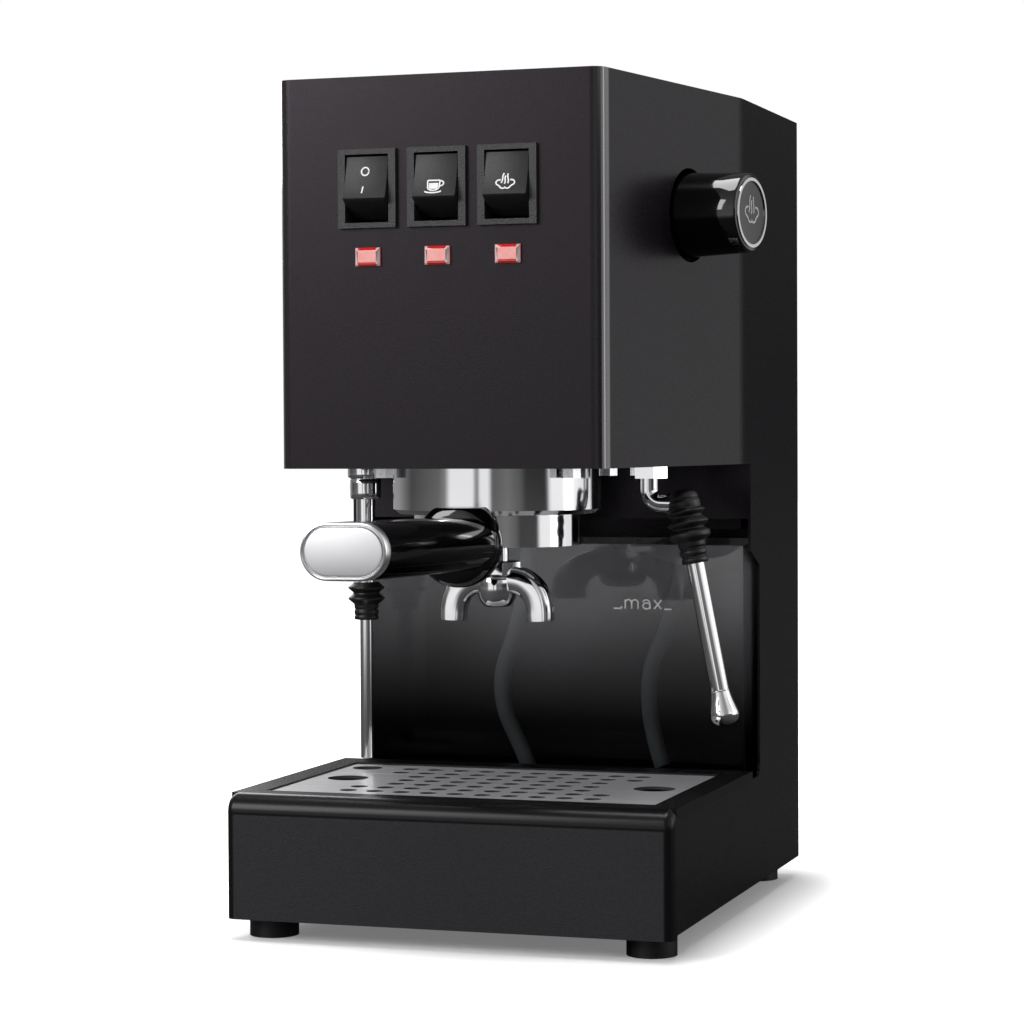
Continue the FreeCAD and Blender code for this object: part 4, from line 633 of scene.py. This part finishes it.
def rockerKey(which, look):
    # the key's outline (along its face, out from the pivot), repeated across its width
    lean = math.radians(rockerLook["tilt"])
    spot = (rockerLook["places"][which], rockerLook["pivotY"], rockerLook["pivotZ"])

    def surface(along, reach, across):
        y = spot[1] + along * math.sin(lean) - reach * math.cos(lean)
        z = spot[2] + along * math.cos(lean) + reach * math.sin(lean)
        return np.stack([spot[0] + across / perMetre, y, z], -1)

    body = "rocker_" + which
    wears = ("switchBlack", body, "switch_black")
    outline, pinLine = [np.array(look[part]) / perMetre for part in ("outline", "pin")]
    key = stackedPiece(which + "_key", outline, look["layers"], surface, *wears)
    smoothEdges(key)
    pin = turnedPiece(which + "_pin", pinLine, spot, (1, 0, 0), *wears, count=look["pinSides"])
    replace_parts(join(which + "_rocker", [key, pin]), body)


for which in rockerLook["places"]:
    rockerKey(which, keyLook)


def ellipse(middle, wide, high, start, end, count=25):
    turn = np.radians(np.linspace(start, end, count))
    return np.stack([middle[0] + wide * np.cos(turn), middle[1] + high * np.sin(turn)], -1)


def straight(first, last, count=5):
    return np.linspace(first, last, count)


def cupPaths():
    body = np.vstack([
        straight((-3.2, 2.4), (-3.0, -0.6)), ellipse((-0.4, -0.6), 2.6, 1.6, 180, 360),
        straight((2.2, -0.6), (2.4, 2.4)), straight((2.3, 2.4), (-3.2, 2.4), 8),
    ])
    handle = ellipse((2.4, 1.0), 1.7, 1.2, 100, -95)
    saucer = ellipse((-0.4, -2.2), 4.0, 1.1, 200, 340)
    coffee = [straight((-2.5, level), (1.7, level)) for level in (0.9, 0.4, -0.1, -0.6)]
    lowest = straight((-2.1, -1.15), (1.3, -1.15))
    return [body, handle, saucer, lowest] + coffee


def steamPaths():
    # a cloud, and three plumes that sway as they rise: x + 0.2 sin(6 h) along the line from foot to head
    cloud = np.vstack([
        ellipse((-2.6, 0.2), 1.5, 1.2, 70, 250), ellipse((-0.9, -1.5), 1.3, 1.0, 190, 330),
        ellipse((1.1, -1.5), 1.3, 1.0, 210, 350), ellipse((2.7, 0.2), 1.5, 1.2, 290, 470),
    ])
    height = np.linspace(0, 1, 9)
    sway = 0.2 * np.sin(6 * height)
    rises = ((-1.8, 0.0, -0.7, 4.4), (-0.3, -0.4, 0.1, 3.2), (1.2, -0.2, 1.1, 4.2))
    plumes = [
        np.stack([x + (endX - x) * height + sway, y + (endY - y) * height], -1)
        for x, y, endX, endY in rises
    ]
    return [cloud] + plumes


rockerMarks = {
    "power": {
        "paths": [ellipse((-0.5, 2.9), 1.7, 1.8, 0, 352, 40), straight((-0.9, -3.9), (-1.2, -7.0))],
        "drop": 0,
    },
    "brew": {"paths": cupPaths(), "drop": -4.6},
    "steam": {"paths": steamPaths(), "drop": -4.4},
}
for which, mark in rockerMarks.items():
    lines = []
    for number, line in enumerate(mark["paths"]):
        moved = (np.array(line) + (0, mark["drop"])) / perMetre
        lines.append(stroke(
            f"{which}_mark_{number}", moved, rockerLook["line"], rockerLook["depth"], rockerFace(which),
            "whitePrintPaintedGlow", "rocker_" + which, "switch_black",
        ))
    join(which + "_mark", lines)

levelLook = {
    "middle": 0.0453, "baseline": 0.1392, "curve": 0.6, "front": 0.033, "line": 0.0007,
    "depth": 0.00012, "letter": 0.0043,
}


def tankFront(x, z, lift):
    # the tank's front is a hollow cylinder of the radius "curve"
    across = x + levelLook["middle"]
    radius = levelLook["curve"] - lift
    y = levelLook["front"] - levelLook["curve"] + np.sqrt(radius ** 2 - across ** 2)
    return np.stack([across, y, z + levelLook["baseline"]], -1)


def levelPaths():
    # the letters are one unit high
    letterM = [
        straight((0, 0), (0, 1.0)), ellipse((0.38, 0.6), 0.38, 0.4, 180, 0), straight((0.76, 0.6), (0.76, 0)),
        ellipse((1.14, 0.6), 0.38, 0.4, 180, 0), straight((1.52, 0.6), (1.52, 0)),
    ]
    letterA = [
        ellipse((0.45, 0.33), 0.42, 0.33, 0, 352), ellipse((0.43, 0.6), 0.42, 0.4, 160, 0),
        straight((0.86, 0.62), (0.86, 0)),
    ]
    letterX = [straight((0, 0), (0.85, 1.0)), straight((0, 1.0), (0.85, 0))]
    placed = [(-2.05, letterM), (0.0, letterA), (1.35, letterX)]
    lines = [np.array(line) + (offset, 0) for offset, letter in placed for line in letter]
    leftTick = [straight((-3.4, 0), (-2.5, 0)), straight((-2.5, 0), (-2.5, 0.25))]
    rightTick = [straight((2.55, 0), (3.4, 0))]
    return lines + leftTick + rightTick


level = [
    stroke(
        f"level_{number}", line * levelLook["letter"], levelLook["line"], levelLook["depth"], tankFront,
        "whitePrintPaintedGlow", "water_tank", "smoked_clear",
    )
    for number, line in enumerate(levelPaths())
]
join("tank_level_mark", level)

knobLook = {
    "spot": (0.089394, -0.0453, 0.3205), "out": (0.98178, -0.19002, 0.0), "reach": 0.03,
    "profile": [
        (0.3, -9), (18.6, -9), (19.0, -8.5), (18.9, 0), (17.6, 28.6), (17.2, 29.6), (16.4, 30), (0.3, 30),
    ],
    "line": 0.0009, "depth": 0.00012, "enlarged": 1.7,
}


def knobEnd(x, z, lift):
    out = np.array(knobLook["out"])
    across = np.array((-out[1], out[0], 0))
    spot = np.array(knobLook["spot"]) + out * knobLook["reach"]
    return spot + x[:, None] * across + z[:, None] * np.array((0, 0, 1)) + lift[:, None] * out


knob = turnedPiece(
    "knob_moulding", eased(knobLook["profile"], 1) / perMetre, knobLook["spot"], knobLook["out"],
    "glossBlack", "steam_knob", "gloss_black",
)
smoothEdges(knob)
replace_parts(knob, "steam_knob")
plumes = [
    stroke(
        f"plume_{number}", np.array(line) * knobLook["enlarged"] / perMetre, knobLook["line"],
        knobLook["depth"], knobEnd, "zincSteel", "steam_knob", "chrome_plate",
    )
    for number, line in enumerate(steamPaths())
]
join("knob_mark", plumes)
print("marks printed")


# Lamp lenses: bevelled caps on square stems

lensLook = {
    "wide": 0.0115, "high": 0.008, "z": 0.3002, "skin": -0.13, "places": (-0.0318, 0.0, 0.0318), "steps": 12,
    "layers": [
        (0.0012, -0.011), (0.0012, 0.0), (0.0, 0.0), (0.0, 0.0009), (0.0013, 0.0021), (0.0016, 0.0022),
    ],
}


def lens(number, x):
    def surface(across, up, depth):
        return np.stack([x + across, lensLook["skin"] - depth, lensLook["z"] + up], -1)

    wide, high = lensLook["wide"] / 2, lensLook["high"] / 2
    edge = np.linspace(-1, 1, lensLook["steps"], endpoint=False)
    one = np.ones_like(edge)
    sides = ((edge, -one), (one, edge), (-edge, one), (-one, -edge))
    outline = np.vstack([np.stack(side, -1) for side in sides]) * (wide, high)
    return stackedPiece(
        f"lens_{number}", outline, lensLook["layers"], surface, "redLens", "machine", "lamp_red",
    )


lenses = join("lamp_lenses", [lens(number, x) for number, x in enumerate(lensLook["places"])])
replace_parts(lenses, "indicator_lamps")


# Steam wand: a ribbed rubber sleeve below the elbow, and a rounded nozzle

wandLook = {
    "elbow": (0.085078, -0.041291, 0.1916), "tip": (0.104278, -0.041291, 0.0924), "nozzleLong": 0.016,
    "sleeve": [
        (0.3, -6.2), (4.2, -6.0), (6.4, -4.4), (7.0, -2.4), (6.7, -2.0), (6.7, -1.6), (7.3, -1.2), (7.3, 1.4),
        (7.1, 2.0), (8.5, 3.0), (8.8, 3.4), (8.8, 3.9), (8.4, 4.3), (7.0, 5.4), (7.0, 6.2), (9.0, 8.0),
        (9.4, 8.5), (9.4, 9.1), (9.0, 9.6), (7.0, 11.0), (7.0, 11.6), (9.0, 13.0), (9.3, 13.5), (9.3, 15.2),
        (9.0, 15.7), (6.6, 17.0), (6.3, 17.6), (6.3, 19.6), (5.5, 20.2), (5.5, 20.8), (6.2, 21.3),
        (6.2, 23.2), (5.4, 23.8), (5.4, 24.4), (6.1, 24.9), (6.0, 26.8), (5.4, 27.3), (4.3, 27.3),
    ],
    "nozzle": [
        (4.3, 0), (4.5, 0.1), (4.5, 0.5), (4.35, 0.6), (4.4, 0.9), (4.8, 3.4), (5.6, 6.6), (6.4, 9.4),
        (6.7, 10.8), (6.6, 12.2), (6.0, 13.7), (5.0, 14.8), (3.6, 15.6), (1.6, 16.0), (1.0, 16.0),
        (0.9, 15.0), (0.2, 15.0),
    ],
}
wandAxis = np.array(wandLook["tip"]) - np.array(wandLook["elbow"])
wandRun = float(np.linalg.norm(wandAxis))
sleeve = turnedPiece(
    "grip_sleeve", eased(wandLook["sleeve"], 1) / perMetre, wandLook["elbow"], wandAxis,
    "blackRubber", "steam_wand", "black_rubber",
)
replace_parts(sleeve, "wand_grip")
nozzleSpot = np.array(wandLook["tip"]) - wandAxis / wandRun * wandLook["nozzleLong"]
nozzle = turnedPiece(
    "steam_nozzle", eased(wandLook["nozzle"]) / perMetre, nozzleSpot, wandAxis,
    "chromePlate", "steam_wand", "chrome_plate",
)
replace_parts(nozzle, "wand_tip")


# Drain line: a plated nut under the head, and a rubber bellows between the two pipes

drainLook = {
    "spot": (-0.079, -0.013, 0), "up": (0, 0, 1),
    "bellows": [
        (4.7, 153.0), (6.2, 153.0), (6.4, 152.4), (8.3, 151.0), (8.7, 150.5), (8.7, 150.1), (8.2, 149.6),
        (6.3, 148.1), (6.3, 147.5), (8.3, 145.9), (8.7, 145.4), (8.7, 145.0), (8.2, 144.4), (6.2, 142.7),
        (5.8, 142.4), (5.8, 140.6), (5.4, 140.3), (5.4, 139.9), (5.8, 139.6), (5.8, 137.8), (5.4, 137.5),
        (5.4, 137.1), (5.8, 136.8), (5.7, 135.4), (5.2, 135.0), (3.3, 135.0),
    ],
    "nut": [
        (4.6, 192.5), (6.4, 192.5), (7.1, 192.9), (7.4, 193.6), (7.4, 201.8), (7.0, 202.4), (8.3, 202.9),
        (8.5, 203.3), (8.5, 208.2), (8.2, 208.6), (5.0, 208.7), (5.0, 209.9), (3.5, 209.9),
    ],
}
bellows = turnedPiece(
    "drain_bellows", eased(drainLook["bellows"], 1) / perMetre, drainLook["spot"], drainLook["up"],
    "blackRubber", "machine", "black_rubber",
)
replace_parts(bellows, "discharge_bellows")
drainNut = turnedPiece(
    "drain_nut", eased(drainLook["nut"], 1) / perMetre, drainLook["spot"], drainLook["up"],
    "chromePlate", "machine", "chrome_plate",
)
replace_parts(drainNut, "discharge_nut")


# Double spout: a hexagon nut over a bulb, and two rounded arms that open downwards

spoutLook = {
    "y": -0.052, "thick": 5.8, "half": (6.6, 5.5), "wall": 1.2, "hollow": 9, "flatness": 0.55, "sides": 40,
    "bulb": [
        (5.0, 172.9), (5.5, 172.6), (5.5, 166.2), (5.5, 159.2), (8.4, 158.6), (9.0, 155.0), (8.8, 149.5),
        (7.2, 146.0), (4.2, 144.3), (4.2, 146.5), (3.6, 152.0), (0.2, 152.0),
    ],
    "arm": [(0.0, 156.6), (6.0, 157.4), (12.6, 156.4), (18.2, 151.8), (20.6, 145.6), (20.8, 138.5)],
    "nutFlats": 19, "nutLayers": [(0.0008, 0.1592), (0.0, 0.1598), (0.0, 0.1652), (0.0008, 0.1658)],
}
spoutWears = ("chromePlate", "portafilter", "chrome_plate")


def spoutArm(name, side, look):
    # a flattened ring across each point of the centre line, |cos t|^f by |sin t|^f; the rings run out
    # along the line, then back inside by the wall
    centre = eased(look["arm"], 3)
    heading = np.gradient(centre, axis=0)
    heading /= np.linalg.norm(heading, axis=1)[:, None]
    across = np.stack([-heading[:, 1], heading[:, 0]], -1)
    half = np.linspace(*look["half"], len(centre))
    count = len(centre)
    order = np.concatenate([np.arange(count), np.arange(count - 1, count - look["hollow"], -1)])
    skin = np.where(np.arange(len(order)) < count, 0.0, look["wall"])
    turn = np.linspace(0, math.tau, look["sides"], endpoint=False)
    ring = (np.cos(turn), np.sin(turn))
    wide, deep = [np.sign(part) * np.abs(part) ** look["flatness"] for part in ring]
    reach = (half[order] - skin)[:, None] * wide
    x = side * (centre[order, 0][:, None] + across[order, 0][:, None] * reach)
    z = centre[order, 1][:, None] + across[order, 1][:, None] * reach
    y = look["y"] * perMetre + (look["thick"] - skin)[:, None] * deep
    made = gridMesh(name, np.stack([x, y, z], -1) / perMetre, True, *spoutWears, ends=True)
    smoothEdges(made)
    return made


def spoutNut(look):
    corner = np.radians(np.arange(0, 360, 60))
    outline = np.stack([np.cos(corner), np.sin(corner)], -1) * look["nutFlats"] / math.sqrt(3) / perMetre

    def surface(x, y, z):
        return np.stack([x, y + look["y"], z], -1)

    return stackedPiece("spout_nut", outline, look["nutLayers"], surface, *spoutWears)


bulbLine = eased(spoutLook["bulb"]) / perMetre
bulb = turnedPiece("spout_bulb", bulbLine, (0, spoutLook["y"], 0), (0, 0, 1), *spoutWears)
arms = [spoutArm("spout_left", -1, spoutLook), spoutArm("spout_right", 1, spoutLook)]
spout = join("spout_body", [bulb, spoutNut(spoutLook)] + arms)
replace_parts(spout, "double_spout")


# Handle: a flattened bar that comes out of a domed root, and its cap, a plated lid with a groove

handleLook = {
    "wide": 0.0368, "high": 0.0232, "start": -0.1005, "end": -0.238, "z": 0.1754, "rise": 0.0024,
    "flat": 0.1913, "layers": [(0, 0), (0, 0.5), (0, 0.998), (0.0003, 1)],
    "root": [
        (0.3, 0), (18.6, 0), (19.2, 0.5), (19.2, 6.0), (18.4, 9.6), (16.2, 12.0), (12.4, 13.0), (0.3, 13.0),
    ],
}
handleWears = ("glossBlack", "portafilter", "gloss_black")


def handleBar(x, z, share):
    # share is the part of the handle's length from its root
    y = handleLook["start"] + share * (handleLook["end"] - handleLook["start"])
    return np.stack([x, y, z + handleLook["z"] + share * handleLook["rise"]], -1)


barOutline = stadiumOutline(handleLook["wide"], handleLook["high"])
bar = stackedPiece("handle_bar", barOutline, handleLook["layers"], handleBar, *handleWears)
smoothEdges(bar)
root = turnedPiece(
    "handle_root", eased(handleLook["root"]) / perMetre, (0, handleLook["start"], handleLook["z"]),
    (0, -1, 0), *handleWears, top=handleLook["flat"],
)
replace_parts(join("handle_moulding", [bar, root]), "portafilter_handle")

capLook = {
    "wide": 0.0368, "high": 0.0232, "start": -0.238, "z": 0.1778,
    "layers": [
        (0.0, 0.0), (0.0, 0.0042), (0.0003, 0.0048), (0.0008, 0.005), (0.001, 0.0048), (0.0011, 0.0036),
        (0.0017, 0.0036), (0.0018, 0.0044), (0.0021, 0.0048), (0.0028, 0.0049),
    ],
}


def capFace(x, z, depth):
    return np.stack([x, capLook["start"] - depth, capLook["z"] + z], -1)


cap = stackedPiece(
    "handle_cap", stadiumOutline(capLook["wide"], capLook["high"]), capLook["layers"], capFace,
    "capPlate", "portafilter", "chrome_plate",
)
smoothEdges(cap)
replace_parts(cap, "handle_end_cap")
print("smooth pieces made")


# Floor, light and camera

stageLook = {
    "floor": 7.0, "lines": 9, "sunk": 0.0002, "paleness": 0.86, "bounce": 0.22, "mirrored": 0.05,
    "footprint": (0.1, 0.125), "fade": (-0.01, 0.06), "lift": 0.11, "mirrorFade": (0.7, 2.2),
}
camera = {
    "spot": (0.4149, -1.2913, 0.2268), "right": (0.9493, 0.3143, -0.0053), "up": (-0.0035, 0.0273, 0.9996),
    "lens": 100.97, "sensor": 36, "shift": (0.0057, -0.0079),
}
lamps = {
    "keyPanel": {"spot": (-1.05, -1.52, 1.04), "aim": (0, -0.05, 0.3), "size": (1.0, 0.95), "power": 24},
    "rightPanel": {"spot": (1.9, 0.4, 0.62), "aim": (0.05, -0.05, 0.25), "size": (0.45, 1.1), "power": 3.6},
    "topPanel": {"spot": (-0.1, -0.1, 1.5), "aim": (0, -0.05, 0.2), "size": (0.9, 0.7), "power": 16},
    "rearPanel": {"spot": (-1.5, 1.7, 1.1), "aim": (-0.05, 0.1, 0.2), "size": (1.2, 1.2), "power": 20},
}
# brightness of the walls that polished metal sees, by degrees round the machine
walls = {
    -180: 0.07, -138: 0.14, -130: 0.25, -124: 1.0, -98: 1.0, -95: 0.3, -92: 0.3, -90: 1.0, -81: 1.0,
    -77: 0.12, -60: 0.18, -46: 0.1, -40: 0.03, -16: 0.03, -10: 1.1, 28: 1.1, 40: 0.9, 52: 0.9, 62: 0.02,
    100: 0.02, 125: 0.3, 150: 0.3, 180: 0.07,
}
# the same above eye level, where tall windows stand to the right
windows = {
    -180: 0.1, -140: 0.12, -130: 0.75, -100: 0.75, -84: 0.4, -60: 0.2, -46: 0.3, -34: 1.0, 48: 1.0,
    60: 0.04, 120: 0.03, 180: 0.1,
}


def addLamp(name, look):
    panel = bpy.data.lights.new(name, "AREA")
    panel.shape = "RECTANGLE"
    panel.size, panel.size_y = look["size"]
    panel.energy = look["power"]
    made = bpy.data.objects.new(name, panel)
    made.location = look["spot"]
    ahead = Vector(look["aim"]) - Vector(look["spot"])
    made.rotation_euler = ahead.to_track_quat("-Z", "Y").to_euler()
    scene.collection.objects.link(made)


def layFloor(look):
    # white to the camera outside the footprint; metal sees it as bright as the walls far off, dark close by
    pale = Finish("paleFloor", Roughness=0.9, Specular_IOR_Level=0.1, Emission_Strength=1.0)
    seen = pale.node("LightPath", {}, {}, "Is Camera Ray")
    mirrored = pale.node("LightPath", {}, {}, "Is Glossy Ray")
    x, y = pale.apart("Object")[:2]
    beside = x.maths("ABSOLUTE", x) - look["footprint"][0]
    ahead = y.maths("ABSOLUTE", y) - look["footprint"][1]
    beside, ahead = [gap.maths("MAXIMUM", gap, 0.0) for gap in (beside, ahead)]
    away = (beside * beside + ahead * ahead) ** 0.5
    far = pale.step(away, *look["mirrorFade"]) * pale.wall(x, y, walls)
    glow = seen * (look["lift"] + pale.step(away, *look["fade"])) + mirrored * far
    unseen = pale.mix(mirrored, grey(look["bounce"]), grey(look["mirrored"]))
    pale.set(
        Base_Color=pale.mix(seen, unseen, grey(look["paleness"])),
        Emission_Color=pale.mix(glow, grey(0.0), grey(1.0)),
    )
    finishes["paleFloor"] = pale.material
    reach = np.linspace(-look["floor"], look["floor"], look["lines"])
    across, deep = np.meshgrid(reach, reach)
    points = np.stack([across, deep, np.full_like(across, -look["sunk"])], -1)
    gridMesh("floor", points, False, "paleFloor", None, None)


worldLook = {"ambient": 0.32, "overhead": 0.3, "window": 1.5, "windowFoot": (0.08, 0.2)}


def lightWorld(look):
    # white behind the machine, plain grey as a source of light, banded walls where metal mirrors it
    world = bpy.data.worlds.new("studio")
    scene.world = world
    world.use_nodes = True
    sky = Graph(world.node_tree)
    seen = sky.node("LightPath", {}, {}, "Is Camera Ray")
    mirrored = sky.node("LightPath", {}, {}, "Is Glossy Ray")
    through = sky.node("LightPath", {}, {}, "Is Transmission Ray")
    x, y, z = sky.apart("Generated")
    ceiling = z.maths("MAXIMUM", z, 0.0)
    high = sky.step(z, *look["windowFoot"])
    around = sky.wall(x, y, walls) * (1 - high) + sky.wall(x, y, windows) * high * look["window"]
    studio = around * (1 - ceiling) + ceiling * look["overhead"]
    white = seen.maths("MAXIMUM", seen, through)
    lit = look["ambient"] + mirrored * (studio - look["ambient"])
    back = sky.tree.nodes["Background"]
    back.inputs["Color"].default_value = grey(1.0)
    feed(sky.tree, back.inputs["Strength"], white + (1 - white) * lit)


def setCamera(look):
    right, up = Vector(look["right"]).normalized(), Vector(look["up"])
    back = right.cross(up).normalized()
    up = back.cross(right)
    lens = bpy.data.cameras.new("camera")
    lens.lens = look["lens"]
    lens.sensor_width = look["sensor"]
    lens.shift_x, lens.shift_y = look["shift"]
    lens.dof.use_dof = False
    made = bpy.data.objects.new("camera", lens)
    turned = Matrix((right, up, back)).transposed().to_4x4()
    made.matrix_world = Matrix.Translation(look["spot"]) @ turned
    scene.collection.objects.link(made)
    scene.camera = made


layFloor(stageLook)
lightWorld(worldLook)
for name, look in lamps.items():
    addLamp(name, look)
setCamera(camera)
print("stage set")
